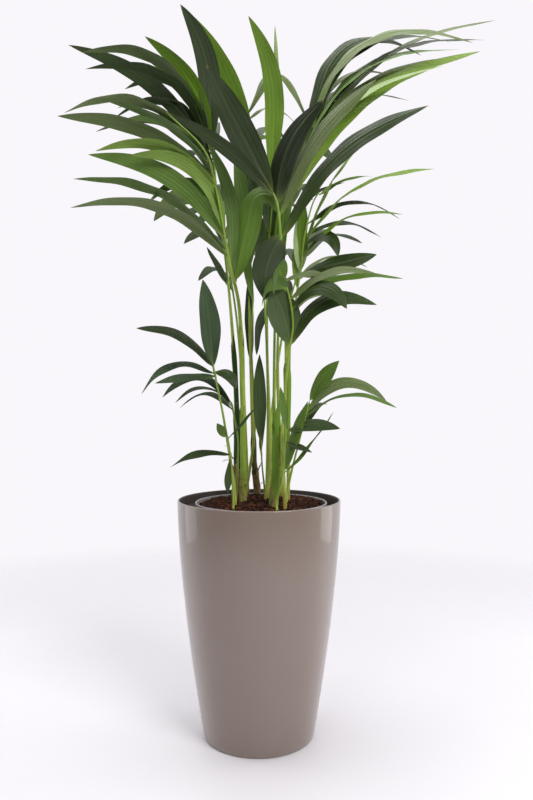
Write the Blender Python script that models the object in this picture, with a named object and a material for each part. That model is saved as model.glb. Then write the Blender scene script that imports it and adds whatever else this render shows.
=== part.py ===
"""A potted Kentia palm: a tall glossy planter, a lift-out nursery pot of soil, and the palms in it.

Units are metres, +Z is up, and the origin is the middle of the planter's underside.
A frond is a stalk (a smooth curve through a few points) and its blades.  Each blade springs from
the stalk at a stated height and bends in its own upright plane, so a blade needs only a compass
direction, the rise at its root, the rise at its tip, a length, a width and a roll.
"""
import math

import bmesh
import bpy
import numpy as np

# ---------------------------------------------------------------- driving dimensions: the pots
PLANTER_HEIGHT = 0.460
PLANTER_RIM_RADIUS = 0.160
PLANTER_FOOT_RADIUS = 0.108
PLANTER_SWELL = 1.55          # how fast the side swells above the foot; 1 is a straight cone
PLANTER_WALL = 0.0045
PLANTER_FLOOR = 0.010

POT_OFFSET = 0.004            # the nursery pot stands slightly off the planter's middle
POT_RIM_HEIGHT = 0.455
POT_DEPTH = 0.240
POT_RIM_RADIUS = 0.129
POT_BODY_RADIUS = 0.123
POT_FOOT_RADIUS = 0.094
POT_WALL = 0.002
POT_LIP_DEPTH = 0.012
DRAIN_HOLE_RADIUS = 0.007
DRAIN_HOLE_RING = 0.060
DRAIN_HOLES = 6

RISER_TOP_RADIUS = 0.080
RISER_FOOT_RADIUS = 0.092
RISER_WALL = 0.003

SOIL_EDGE_HEIGHT = 0.446
SOIL_CROWN = 0.010            # how much the soil is mounded in the middle
SOCKET_DEPTH = 0.018
SOCKET_PLAY = 0.0008          # clearance round a planted foot
SOCKET_SIDES = 12
PLANTED_AT = SOIL_EDGE_HEIGHT - SOCKET_DEPTH
UPRIGHT_TO = 0.470            # planted feet rise straight to here before they lean
GAP = 0.0003                  # clearance between pieces that touch

# ---------------------------------------------------------------- driving dimensions: the palms
TURN_STEPS = 36
STALK_SIDES = 5
STALK_SECTIONS = 12
BLADE_SECTIONS = 6
BLADE_RIDGE = 0.0018          # how far a blade's midrib stands above its edges
BLADE_ROOT_WIDTH = 0.0042

TAUPE_LACQUER = (0.250, 0.195, 0.168)
GREY_PLASTIC = (0.420, 0.400, 0.430)
BLACK_PLASTIC = (0.030, 0.030, 0.032)
COIR = (0.055, 0.028, 0.016)
LEAF_DARK = (0.030, 0.060, 0.018)
LEAF_MID = (0.080, 0.150, 0.040)
LEAF_LIGHT = (0.150, 0.240, 0.050)
BARK_BROWN = (0.120, 0.070, 0.035)
BARK_GREEN = (0.160, 0.200, 0.050)

# Short trunks: foot (x, y), top (x, y, z), radius at the foot, radius at the top, colour.
TRUNKS = {
    "trunk_back_left": ((-0.047, 0.088), (-0.046, 0.086, 0.566), 0.0100, 0.0062, BARK_BROWN),
    "trunk_front_left": ((-0.031, -0.016), (-0.030, -0.020, 0.520), 0.0078, 0.0064, BARK_BROWN),
    "trunk_back_centre": ((-0.005, 0.088), (-0.012, 0.087, 0.530), 0.0080, 0.0056, BARK_BROWN),
    "trunk_front_right": ((0.029, -0.050), (0.033, -0.054, 0.522), 0.0092, 0.0078, BARK_GREEN),
}

# Each frond rises from a foot, either an (x, y) in the soil or the top of a trunk, and its stalk
# passes through the points of "stalk".
# A blade is (height of its root on the stalk, compass direction, rise at the root, rise at the tip,
# length, width, roll) and may add (where bending starts, where it ends) as shares of its length.
# Direction: 0 points right (+X), 90 to the back (+Y), 180 left, 270 to the front.  Angles in degrees.
# Roll 0 lies flat and 90 stands on edge.
FRONDS = {
    "frond_front_left": dict(
        colour=LEAF_MID,
        foot_radius=0.0052,
        tip_radius=0.0014,
        foot="trunk_front_left",
        stalk=[(-0.031, -0.030, 0.655), (-0.037, -0.050, 0.826),
               (-0.056, -0.060, 0.916), (-0.079, -0.080, 1.044), (-0.101, -0.090, 1.117),
               (-0.170, -0.100, 1.183)],
        blades=[
            (0.958, 197, 56, 0, 0.300, 0.034, 60),
            (0.965, 208, 80, -14, 0.260, 0.028, 62),
            (0.937, 188, 50, -3, 0.325, 0.028, 20),
            (0.925, 200, 44, -18, 0.318, 0.032, 25),
            (0.990, 182, 75, -48, 0.190, 0.022, 40),
            (1.070, 194, 38, -4, 0.300, 0.034, 30),
            (1.052, 206, 42, -26, 0.245, 0.028, 35),
            (1.095, 180, 50, 12, 0.225, 0.026, 20),
            (1.020, 168, 68, 22, 0.170, 0.028, 50),
            (0.905, 180, 97, 62, 0.250, 0.026, 85),
            (0.880, 344, 76, -68, 0.235, 0.054, 78, 0.58, 0.92),
            (0.870, 200, 88, 84, 0.150, 0.020, 80),
        ],
    ),
    "frond_back_left": dict(
        colour=LEAF_DARK,
        foot_radius=0.0045,
        tip_radius=0.0014,
        foot="trunk_back_left",
        stalk=[(-0.050, 0.082, 0.700), (-0.065, 0.070, 0.900),
               (-0.086, 0.055, 1.070), (-0.092, 0.050, 1.140), (-0.096, 0.048, 1.180)],
        blades=[
            (1.115, 176, 65, 19, 0.430, 0.037, 50),
            (1.078, 165, 75, -22, 0.380, 0.030, 42, 0.42, 1.00),
            (1.160, 187, 68, -14, 0.375, 0.032, 22, 0.20, 1.00),
            (1.176, 180, 80, 36, 0.270, 0.036, 55),
            (1.170, 168, 76, 30, 0.265, 0.030, 38),
            (1.150, 195, 74, -18, 0.350, 0.028, 25, 0.05, 1.00),
            (1.130, 181, 72, -38, 0.295, 0.026, 15, 0.15, 1.00),
            (1.155, 191, 40, -30, 0.335, 0.030, 12, 0.20, 1.00),
            (1.140, 177, 44, -24, 0.280, 0.024, 8, 0.15, 1.00),
            (1.145, 184, 42, -28, 0.255, 0.026, 12, 0.20, 1.00),
            (1.175, 170, 50, -16, 0.245, 0.024, 8, 0.20, 1.00),
            (0.895, 176, 62, 58, 0.090, 0.018, 50),
            (1.050, 158, 40, -50, 0.180, 0.040, 50),
            (1.178, 190, 88, 56, 0.292, 0.045, 72, 0.30, 1.00),
            (0.980, 112, 60, -15, 0.220, 0.034, 10),
            (1.040, 100, 60, -20, 0.240, 0.036, 0),
            (1.100, 122, 60, -12, 0.250, 0.036, 5),
            (1.160, 96, 62, -5, 0.240, 0.034, -10),
        ],
    ),
    "frond_back_centre": dict(
        colour=LEAF_MID,
        foot_radius=0.0042,
        tip_radius=0.0014,
        foot="trunk_back_centre",
        stalk=[(-0.0185, 0.085, 0.763), (-0.022, 0.090, 0.907),
               (-0.022, 0.100, 1.077), (-0.024, 0.105, 1.184), (-0.027, 0.110, 1.265)],
        blades=[
            (1.108, 176, 86, 55, 0.405, 0.050, 66),
            (1.262, 8, 64, -62, 0.270, 0.030, 45, 0.25, 0.60),
            (1.250, 24, 48, -50, 0.150, 0.020, 20),
            (1.200, 34, 42, -70, 0.140, 0.024, 30),
            (0.925, 176, 90, 76, 0.250, 0.042, 78),
            (0.985, 350, 90, 76, 0.220, 0.038, 75),
            (1.050, 70, 62, -15, 0.200, 0.034, 10),
            (1.120, 100, 60, -20, 0.230, 0.034, 0),
            (1.180, 62, 60, -10, 0.220, 0.032, 10),
            (1.225, 118, 62, -10, 0.230, 0.032, 0),
            (0.735, 170, 88, 88, 0.170, 0.020, 80),
        ],
    ),
    "frond_front_centre": dict(
        colour=LEAF_DARK,
        foot_radius=0.0066,
        tip_radius=0.0016,
        foot="trunk_front_right",
        stalk=[(0.0518, -0.056, 0.579), (0.053, -0.070, 0.749),
               (0.047, -0.090, 0.858), (0.041, -0.105, 0.947), (0.0356, -0.110, 1.006),
               (0.0247, -0.112, 1.037)],
        blades=[
            (1.035, 184, 62, 62, 0.255, 0.052, 75),
            (1.028, 192, 46, 24, 0.230, 0.026, 60),
            (1.010, 352, 86, 44, 0.212, 0.050, 72),
            (0.990, 344, 70, 34, 0.295, 0.044, 58),
            (0.950, 338, 62, 12, 0.350, 0.050, 60),
            (0.955, 195, -60, -92, 0.125, 0.062, 80),
        ],
    ),
    "frond_centre_tall": dict(
        colour=LEAF_MID,
        foot_radius=0.0038,
        tip_radius=0.0014,
        foot=(0.020, 0.048),
        stalk=[(0.022, 0.050, 0.573), (0.016, 0.045, 0.761), (0.018, 0.040, 0.939),
               (0.028, 0.030, 1.078), (0.026, 0.030, 1.140)],
        blades=[
            (1.100, 178, 92, 62, 0.340, 0.040, 72, 0.30, 1.00),
            (1.120, 0, 86, 92, 0.290, 0.016, 60),
            (0.930, 350, 88, 80, 0.210, 0.040, 78),
            (0.990, 186, 88, 76, 0.200, 0.036, 78),
            (1.050, 75, 60, 0, 0.200, 0.030, 10),
            (1.000, 60, 58, -15, 0.200, 0.030, 5),
            (1.130, 60, 64, 0, 0.130, 0.030, 5),
            (0.850, 215, -60, -92, 0.110, 0.026, 75),
        ],
    ),
    "frond_high_right": dict(
        colour=LEAF_DARK,
        foot_radius=0.0042,
        tip_radius=0.0014,
        foot=(0.044, 0.058),
        stalk=[(0.042, 0.060, 0.573), (0.038, 0.056, 0.761), (0.050, 0.058, 0.942),
               (0.0715, 0.065, 1.1175), (0.1006, 0.070, 1.183), (0.1239, 0.075, 1.271)],
        blades=[
            (1.165, 7, 75, -28, 0.420, 0.040, 60, 0.30, 1.00),
            (1.172, 358, 75, -14, 0.440, 0.040, 45, 0.12, 1.00),
            (1.188, 349, 80, -24, 0.460, 0.038, 40),
            (1.078, 352, 63, 8, 0.490, 0.054, 56),
            (1.105, 0, 66, 6, 0.470, 0.048, 48),
            (1.155, 12, 66, 5, 0.440, 0.032, 30, 0.10, 1.00),
            (1.200, 3, 56, 10, 0.485, 0.034, 34),
            (1.180, 353, 64, -6, 0.450, 0.034, 30),
            (1.150, 343, 68, -8, 0.410, 0.030, 25),
            (1.130, 18, 74, -6, 0.360, 0.030, 25),
            (1.110, 336, 60, 0, 0.375, 0.040, 40),
            (1.030, 5, 52, 14, 0.145, 0.022, 25),
            (1.050, 70, 60, -20, 0.200, 0.032, 0),
            (1.120, 58, 60, -20, 0.240, 0.034, 0),
            (1.190, 66, 60, -12, 0.240, 0.034, 0),
            (1.240, 50, 60, -10, 0.230, 0.032, 0),
            (1.262, 80, 62, -10, 0.200, 0.030, 0),
            (1.268, 20, 60, -10, 0.220, 0.030, 20),
        ],
    ),
    "frond_mid_right": dict(
        colour=LEAF_LIGHT,
        foot_radius=0.0036,
        tip_radius=0.0013,
        foot=(0.058, 0.014),
        stalk=[(0.061, 0.004, 0.758), (0.0725, -0.010, 0.851), (0.0818, -0.020, 0.912),
               (0.089, -0.030, 0.975), (0.104, -0.035, 1.034), (0.121, -0.038, 1.060)],
        blades=[
            (0.950, 354, 72, 38, 0.310, 0.030, 14),
            (0.965, 341, 52, -3, 0.285, 0.032, 25),
            (0.935, 331, 46, -16, 0.225, 0.034, 30),
            (0.995, 13, 42, -30, 0.212, 0.030, 24),
            (0.975, 27, 32, -24, 0.190, 0.030, 24),
            (0.955, 322, 35, -80, 0.110, 0.034, 40),
            (0.905, 186, 92, 84, 0.110, 0.028, 80),
            (0.930, 165, 94, 88, 0.120, 0.020, 75),
            (0.872, 180, 86, 90, 0.095, 0.016, 80),
            (0.898, 6, 20, 12, 0.160, 0.042, 58),
            (0.865, 350, 24, -12, 0.210, 0.032, 38),
            (1.050, 22, 40, 5, 0.130, 0.024, 20),
        ],
    ),
    "frond_low_front_right": dict(
        colour=LEAF_DARK,
        foot_radius=0.0036,
        tip_radius=0.0015,
        foot=(0.049, -0.072),
        stalk=[(0.044, -0.076, 0.579), (0.050, -0.088, 0.683), (0.057, -0.100, 0.749),
               (0.063, -0.108, 0.7925), (0.057, -0.115, 0.838), (0.045, -0.120, 0.875)],
        blades=[
            (0.755, 205, 80, 62, 0.115, 0.060, 80),
            (0.757, 346, 68, -22, 0.200, 0.038, 58),
            (0.820, 334, 56, -62, 0.140, 0.036, 55),
            (0.838, 353, 46, -14, 0.170, 0.032, 38),
            (0.870, 8, 30, -5, 0.075, 0.020, 40),
            (0.872, 255, 35, -90, 0.115, 0.036, 60),
            (0.858, 232, 20, -80, 0.100, 0.030, 60),
        ],
    ),
    "frond_low_left": dict(
        colour=LEAF_DARK,
        foot_radius=0.0032,
        tip_radius=0.0018,
        foot=(-0.046, -0.040),
        stalk=[(-0.052, -0.044, 0.521), (-0.066, -0.055, 0.617), (-0.078, -0.065, 0.681),
               (-0.084, -0.070, 0.711), (-0.086, -0.071, 0.724)],
        blades=[
            (0.718, 178, 88, 78, 0.165, 0.040, 80),
            (0.718, 188, 54, -2, 0.168, 0.030, 30),
            (0.705, 198, 28, -60, 0.165, 0.030, 20),
            (0.700, 214, 2, -16, 0.125, 0.026, 35),
            (0.708, 340, 5, -80, 0.062, 0.024, 45),
        ],
    ),
    "leaf_arching_left": dict(
        colour=LEAF_DARK,
        foot_radius=0.0028,
        tip_radius=0.0015,
        foot=(-0.046, 0.014),
        stalk=[(-0.0415, 0.004, 0.570), (-0.051, -0.008, 0.634), (-0.054, -0.010, 0.652)],
        blades=[
            (0.648, 184, 60, -50, 0.172, 0.028, 30),
            (0.642, 164, 52, -45, 0.145, 0.022, 20),
            (0.636, 206, 48, -45, 0.130, 0.020, 20),
        ],
    ),
    "seedling_left": dict(
        colour=LEAF_DARK,
        foot_radius=0.0024,
        tip_radius=0.0013,
        foot=(-0.048, -0.068),
        stalk=[(-0.053, -0.070, 0.5505), (-0.0585, -0.072, 0.590)],
        blades=[
            (0.553, 202, 14, -34, 0.122, 0.026, 35),
            (0.587, 170, 40, 60, 0.032, 0.018, 80),
            (0.583, 346, 48, 44, 0.100, 0.009, 40),
            (0.548, 214, -76, -94, 0.068, 0.022, 70),
        ],
    ),
    "young_leaf_centre": dict(
        colour=LEAF_MID,
        foot_radius=0.0022,
        tip_radius=0.0014,
        foot=(0.012, -0.018),
        stalk=[(0.006, -0.022, 0.530), (0.004, -0.024, 0.580)],
        blades=[
            (0.574, 180, 88, 90, 0.170, 0.026, 85),
            (0.550, 70, 80, 84, 0.130, 0.020, 80),
        ],
    ),
    "frond_low_right": dict(
        colour=LEAF_MID,
        foot_radius=0.0030,
        tip_radius=0.0014,
        foot=(0.054, -0.022),
        stalk=[(0.064, -0.026, 0.519), (0.083, -0.032, 0.595), (0.098, -0.036, 0.655)],
        blades=[
            (0.655, 348, 64, 42, 0.095, 0.034, 65),
            (0.632, 350, 58, -42, 0.185, 0.026, 55),
            (0.625, 334, 38, -28, 0.195, 0.028, 15),
            (0.600, 60, 55, -10, 0.130, 0.028, 10),
        ],
    ),
    "seedling_right": dict(
        colour=LEAF_DARK,
        foot_radius=0.0024,
        tip_radius=0.0013,
        foot=(0.034, -0.086),
        stalk=[(0.044, -0.098, 0.508), (0.050, -0.104, 0.580), (0.052, -0.106, 0.605)],
        blades=[
            (0.600, 348, 20, -16, 0.100, 0.028, 45),
            (0.525, 340, 74, 66, 0.136, 0.028, 60),
            (0.520, 352, 46, 56, 0.146, 0.018, 15),
            (0.580, 336, -16, -26, 0.055, 0.016, 30),
            (0.600, 200, 82, 80, 0.080, 0.014, 60),
        ],
    ),
    "spear_left": dict(
        colour=LEAF_LIGHT,
        foot_radius=0.0030,
        tip_radius=0.0016,
        foot=(-0.026, 0.050),
        stalk=[(-0.009, 0.052, 0.604), (-0.016, 0.056, 0.757), (-0.012, 0.060, 0.880)],
        blades=[
            (0.860, 180, 80, 84, 0.190, 0.020, 80),
        ],
    ),
    "spear_centre": dict(
        colour=LEAF_LIGHT,
        foot_radius=0.0042,
        tip_radius=0.0018,
        foot=(0.016, 0.008),
        stalk=[(0.018, 0.010, 0.620), (0.014, 0.012, 0.790), (0.006, 0.014, 0.920)],
        blades=[
            (0.905, 190, 84, 80, 0.200, 0.026, 80),
        ],
    ),
    "spear_right": dict(
        colour=LEAF_LIGHT,
        foot_radius=0.0044,
        tip_radius=0.0018,
        foot=(0.032, 0.006),
        stalk=[(0.030, 0.008, 0.620), (0.031, 0.010, 0.790), (0.036, 0.014, 0.940)],
        blades=[
            (0.925, 5, 84, 76, 0.210, 0.028, 75),
        ],
    ),
    "frond_rear_left": dict(
        colour=LEAF_DARK,
        foot_radius=0.0040,
        tip_radius=0.0014,
        foot=(-0.026, 0.106),
        stalk=[(-0.034, 0.128, 0.640), (-0.052, 0.170, 0.840), (-0.078, 0.220, 0.990),
               (-0.100, 0.270, 1.090)],
        blades=[
            (0.900, 122, 55, -25, 0.200, 0.034, 10),
            (0.950, 60, 55, -20, 0.180, 0.034, 0),
            (0.990, 126, 52, -20, 0.220, 0.036, 10),
            (1.020, 66, 55, -20, 0.200, 0.034, 0),
            (1.050, 128, 50, -15, 0.220, 0.036, 5),
            (1.075, 78, 52, -10, 0.200, 0.034, 0),
            (1.088, 112, 50, -10, 0.220, 0.034, 0),
        ],
    ),
    "frond_rear_right": dict(
        colour=LEAF_DARK,
        foot_radius=0.0040,
        tip_radius=0.0014,
        foot=(0.016, 0.104),
        stalk=[(0.026, 0.130, 0.620), (0.050, 0.175, 0.800), (0.082, 0.225, 0.930),
               (0.110, 0.270, 1.010)],
        blades=[
            (0.840, 20, 52, -25, 0.190, 0.034, 10),
            (0.890, 110, 55, -20, 0.180, 0.034, 0),
            (0.925, 28, 50, -22, 0.230, 0.036, 10),
            (0.955, 104, 55, -20, 0.200, 0.034, 0),
            (0.985, 40, 50, -15, 0.230, 0.036, 5),
            (1.000, 92, 52, -12, 0.200, 0.034, 0),
            (1.008, 66, 48, -10, 0.220, 0.034, 0),
        ],
    ),
}


# ---------------------------------------------------------------- helpers
def clear_scene():
    for thing in list(bpy.data.objects):
        bpy.data.objects.remove(thing, do_unlink=True)


def material(name, colour, roughness, metallic=0.0):
    """A Principled material of one colour."""
    found = bpy.data.materials.get(name) or bpy.data.materials.new(name)
    found.use_nodes = True
    shader = found.node_tree.nodes["Principled BSDF"]
    shader.inputs["Base Color"].default_value = (*colour, 1.0)
    shader.inputs["Roughness"].default_value = roughness
    shader.inputs["Metallic"].default_value = metallic
    return found


def add_object(name, mesh, finish):
    """Put a mesh in the scene as a named piece."""
    thing = bpy.data.objects.new(name, mesh)
    bpy.context.scene.collection.objects.link(thing)
    mesh.name = name
    mesh.materials.clear()
    mesh.materials.append(finish)
    return thing


def mesh_from(points, faces):
    """A mesh of the given points and faces, its normals facing out."""
    mesh = bpy.data.meshes.new("shape")
    mesh.from_pydata([tuple(p) for p in points], [], faces)
    edit = bmesh.new()
    edit.from_mesh(mesh)
    bmesh.ops.recalc_face_normals(edit, faces=edit.faces)
    edit.to_mesh(mesh)
    edit.free()
    return mesh


def turned(outline, middle=(0.0, 0.0), steps=TURN_STEPS):
    """A closed body spun from an outline of (radius, height) points that starts and ends on the axis."""
    edit = bmesh.new()
    ring = [edit.verts.new((radius, 0.0, height)) for radius, height in outline]
    edges = [edit.edges.new(pair) for pair in zip(ring, ring[1:])]
    bmesh.ops.spin(edit, geom=ring + edges, cent=(0, 0, 0), axis=(0, 0, 1), angle=2 * math.pi,
                   steps=steps, use_merge=True, use_duplicate=False)
    bmesh.ops.remove_doubles(edit, verts=edit.verts, dist=1e-6)
    bmesh.ops.recalc_face_normals(edit, faces=edit.faces)
    bmesh.ops.translate(edit, verts=edit.verts, vec=(middle[0], middle[1], 0.0))
    mesh = bpy.data.meshes.new("turned")
    edit.to_mesh(mesh)
    edit.free()
    mesh.shade_smooth()
    mesh.set_sharp_from_angle(angle=math.radians(35))
    return mesh


def boolean(target, tool_mesh, operation, itself=False):
    """Apply an exact Boolean to a piece and leave no cutter behind."""
    tool = bpy.data.objects.new("tool", tool_mesh)
    bpy.context.scene.collection.objects.link(tool)
    change = target.modifiers.new("change", "BOOLEAN")
    change.operation = operation
    change.solver = "EXACT"
    change.use_self = itself
    change.object = tool
    seen = target.evaluated_get(bpy.context.evaluated_depsgraph_get())
    target.data = bpy.data.meshes.new_from_object(seen)
    target.modifiers.clear()
    bpy.data.objects.remove(tool, do_unlink=True)


def keep_outer_shell(mesh):
    """Fill the sealed pockets between crossing blades: only the largest shell stays."""
    edit = bmesh.new()
    edit.from_mesh(mesh)
    waiting = set(edit.verts)
    shells = []
    while waiting:
        shell = set()
        queue = [next(iter(waiting))]
        while queue:
            vert = queue.pop()
            if vert not in shell:
                shell.add(vert)
                queue += [edge.other_vert(vert) for edge in vert.link_edges]
        shells.append(shell)
        waiting -= shell
    shells.sort(key=len)
    for shell in shells[:-1]:
        bmesh.ops.delete(edit, geom=list(shell), context="VERTS")
    edit.to_mesh(mesh)
    edit.free()


def joined(meshes):
    """One mesh that holds several closed bodies."""
    edit = bmesh.new()
    for mesh in meshes:
        edit.from_mesh(mesh)
    whole = bpy.data.meshes.new("joined")
    edit.to_mesh(whole)
    edit.free()
    return whole


# ---------------------------------------------------------------- pots
def planter_radius(height):
    """Outer radius: the side swells quickly above the foot and runs nearly straight to the rim."""
    share = 1.0 - (1.0 - height / PLANTER_HEIGHT) ** PLANTER_SWELL
    return PLANTER_FOOT_RADIUS + (PLANTER_RIM_RADIUS - PLANTER_FOOT_RADIUS) * share


def make_planter():
    """A tall cup with a rounded foot and a thin rounded rim."""
    outside = [(0.0, 0.0), (PLANTER_FOOT_RADIUS - 0.004, 0.0), (planter_radius(0.0), 0.003)]
    outside += [(planter_radius(h), h) for h in np.linspace(0.03, PLANTER_HEIGHT - 0.002, 9)]
    crest = planter_radius(PLANTER_HEIGHT) - PLANTER_WALL / 2
    rim = [(crest + 0.0012, PLANTER_HEIGHT), (crest - 0.0012, PLANTER_HEIGHT)]
    heights = np.linspace(PLANTER_HEIGHT - 0.002, PLANTER_FLOOR + 0.012, 6)
    inside = [(planter_radius(h) - PLANTER_WALL, h) for h in heights]
    floor = [(planter_radius(PLANTER_FLOOR) - PLANTER_WALL - 0.008, PLANTER_FLOOR), (0.0, PLANTER_FLOOR)]
    mesh = turned(outside + rim + inside + floor)
    add_object("planter", mesh, material("taupe_lacquer", TAUPE_LACQUER, 0.08))


def pot_floor_height():
    return POT_RIM_HEIGHT - POT_DEPTH


def make_riser():
    """An upturned pot with a hole in its top, open underneath, that lifts the nursery pot."""
    foot = PLANTER_FLOOR + GAP
    top = pot_floor_height() - GAP
    outline = [
        (DRAIN_HOLE_RING - 0.030, top), (RISER_TOP_RADIUS, top), (RISER_FOOT_RADIUS, foot),
        (RISER_FOOT_RADIUS - RISER_WALL, foot), (RISER_TOP_RADIUS - RISER_WALL, top - RISER_WALL),
        (DRAIN_HOLE_RING - 0.030, top - RISER_WALL), (DRAIN_HOLE_RING - 0.030, top),
    ]
    mesh = turned(outline, (POT_OFFSET, 0.0), steps=28)
    add_object("riser", mesh, material("black_plastic", BLACK_PLASTIC, 0.5))


def make_nursery_pot():
    """A tapered plastic pot with a rolled lip and a ring of drain holes."""
    low = pot_floor_height()
    lip = POT_RIM_HEIGHT - POT_LIP_DEPTH
    outline = [
        (0.0, low), (POT_FOOT_RADIUS, low), (POT_BODY_RADIUS, lip), (POT_RIM_RADIUS, lip),
        (POT_RIM_RADIUS + 0.0006, POT_RIM_HEIGHT - 0.001), (POT_RIM_RADIUS - 0.0008, POT_RIM_HEIGHT),
        (POT_RIM_RADIUS - POT_WALL, POT_RIM_HEIGHT - 0.001), (POT_BODY_RADIUS - POT_WALL, lip - 0.004),
        (POT_FOOT_RADIUS - POT_WALL, low + POT_WALL), (0.0, low + POT_WALL),
    ]
    mesh = turned(outline, (POT_OFFSET, 0.0))
    pot = add_object("nursery_pot", mesh, material("grey_plastic", GREY_PLASTIC, 0.4))
    holes = []
    for index in range(DRAIN_HOLES):
        angle = 2 * math.pi * index / DRAIN_HOLES
        place = (POT_OFFSET + DRAIN_HOLE_RING * math.cos(angle), DRAIN_HOLE_RING * math.sin(angle))
        outline = [(0.0, low - 0.01), (DRAIN_HOLE_RADIUS, low - 0.01),
                   (DRAIN_HOLE_RADIUS, low + 0.01), (0.0, low + 0.01)]
        holes.append(turned(outline, place, steps=12))
    boolean(pot, joined(holes), "DIFFERENCE")


def soil_height(distance):
    """Height of the mounded soil at a distance from the pot's middle."""
    share = min(distance / POT_BODY_RADIUS, 1.0)
    return SOIL_EDGE_HEIGHT + SOIL_CROWN * math.cos(share * math.pi / 2) ** 2


def planted_feet():
    """The (x, y, radius) of everything that is planted in the soil."""
    feet = [(*foot, radius) for foot, _, radius, _, _ in TRUNKS.values()]
    for frond in FRONDS.values():
        if frond["foot"] not in TRUNKS:
            feet.append((*frond["foot"], frond["foot_radius"]))
    return feet


def make_soil():
    """The root ball and compost, mounded a little, with a socket for each planted foot."""
    low = pot_floor_height() + POT_WALL + GAP
    inner_top = POT_RIM_HEIGHT - POT_LIP_DEPTH - 0.004
    slope = (POT_BODY_RADIUS - POT_FOOT_RADIUS) / (POT_RIM_HEIGHT - POT_LIP_DEPTH - pot_floor_height())
    side = POT_FOOT_RADIUS - POT_WALL - 0.0008
    top_side = side + slope * (inner_top - low)
    outline = [(0.0, low), (side, low), (top_side, inner_top), (top_side + 0.0005, soil_height(top_side))]
    outline += [(r, soil_height(r)) for r in np.linspace(top_side - 0.02, 0.02, 5)]
    outline.append((0.0, soil_height(0.0)))
    soil = add_object("soil", turned(outline, (POT_OFFSET, 0.0)), material("coir", COIR, 0.95))
    sockets = []
    for x, y, radius in planted_feet():
        bore = radius / math.cos(math.pi / SOCKET_SIDES) + SOCKET_PLAY
        outline = [(0.0, PLANTED_AT - GAP), (bore, PLANTED_AT - GAP),
                   (bore, PLANTED_AT + 0.060), (0.0, PLANTED_AT + 0.060)]
        sockets.append(turned(outline, (x, y), steps=SOCKET_SIDES))
    boolean(soil, joined(sockets), "DIFFERENCE")


# ---------------------------------------------------------------- palms
def smooth_path(points, count):
    """Evenly spaced points on a Catmull-Rom curve through the given points."""
    knots = np.array(points, float)
    ends = np.vstack([2 * knots[0] - knots[1], knots, 2 * knots[-1] - knots[-2]])
    t = np.linspace(0.0, 1.0, 16, endpoint=False)[:, None]
    runs = []
    for a, b, c, d in zip(ends, ends[1:], ends[2:], ends[3:]):
        runs.append(b + 0.5 * t * (c - a + t * (2 * a - 5 * b + 4 * c - d + t * (3 * (b - c) + d - a))))
    dense = np.vstack(runs + [knots[-1:]])
    travel = np.concatenate([[0.0], np.cumsum(np.linalg.norm(np.diff(dense, axis=0), axis=1))])
    even = np.linspace(0.0, travel[-1], count)
    return np.stack([np.interp(even, travel, dense[:, k]) for k in range(3)], axis=1)


def point_at_height(path, height):
    return np.array([np.interp(height, path[:, 2], path[:, k]) for k in range(2)] + [height])


def tube(path, radii, sides=STALK_SIDES, level_top=False):
    """A closed round bar along a path, its foot cut level and, if asked, its top too."""
    tangent = np.gradient(path, axis=0)
    tangent[0] = (0.0, 0.0, 1.0)
    if level_top:
        tangent[-1] = (0.0, 0.0, 1.0)
    tangent /= np.linalg.norm(tangent, axis=1)[:, None]
    across = np.cross(tangent, (1.0, 0.0, 0.0))
    across /= np.linalg.norm(across, axis=1)[:, None]
    other = np.cross(tangent, across)
    angles = np.arange(sides) * 2 * math.pi / sides
    rings = path[:, None] + radii[:, None, None] * (
        across[:, None] * np.cos(angles)[None, :, None] + other[:, None] * np.sin(angles)[None, :, None])
    count = len(path)
    faces = [[r * sides + k, r * sides + (k + 1) % sides, (r + 1) * sides + (k + 1) % sides,
              (r + 1) * sides + k] for r in range(count - 1) for k in range(sides)]
    faces += [list(range(sides)), [(count - 1) * sides + k for k in range(sides)]]
    return mesh_from(rings.reshape(-1, 3), faces)


def blade_frame(compass, rise):
    """Tangent, level side and face normal of a blade at each rise."""
    tangent = np.stack([np.cos(rise) * math.cos(compass), np.cos(rise) * math.sin(compass),
                        np.sin(rise)], axis=1)
    side = np.array([-math.sin(compass), math.cos(compass), 0.0])
    return tangent, side, np.cross(tangent, side)


def blade_mesh(root, blade):
    """One leaflet: widest before its middle, drawn out to a point, its midrib raised."""
    _, compass, rise_root, rise_tip, length, width, roll = blade[:7]
    bend_from, bend_to = blade[7:] or (0.0, 1.0)
    s = np.linspace(0.0, 1.0, BLADE_SECTIONS)
    bend = np.clip((s - bend_from) / (bend_to - bend_from), 0.0, 1.0)
    rise = np.radians(rise_root + (rise_tip - rise_root) * bend * bend * (3 - 2 * bend))
    tangent, level, face = blade_frame(math.radians(compass), rise)
    step = (tangent[1:] + tangent[:-1]) * 0.5 * length / (BLADE_SECTIONS - 1)
    spine = np.vstack([[root], root + np.cumsum(step, axis=0)])
    roll = math.radians(roll)
    side = level * math.cos(roll) + face * math.sin(roll)
    up = face * math.cos(roll) - level * math.sin(roll)
    shape = s ** 0.75 * (1 - s) ** 0.8
    half = np.maximum(0.5 * width * shape / shape.max(), 0.5 * BLADE_ROOT_WIDTH * (1 - s))
    left = spine + side * half[:, None]
    right = spine - side * half[:, None]
    ridge = spine + up * (BLADE_RIDGE * (1 - 0.5 * s))[:, None]
    rings = np.stack([left, ridge, right], axis=1)[:-1]
    points = np.vstack([rings.reshape(-1, 3), spine[-1:]])
    last = BLADE_SECTIONS - 2
    faces = [[r * 3 + k, r * 3 + (k + 1) % 3, r * 3 + 3 + (k + 1) % 3, r * 3 + 3 + k]
             for r in range(last) for k in range(3)]
    faces += [[last * 3 + k, last * 3 + (k + 1) % 3, len(points) - 1] for k in range(3)]
    faces.append([0, 1, 2])
    return mesh_from(points, faces)


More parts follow.
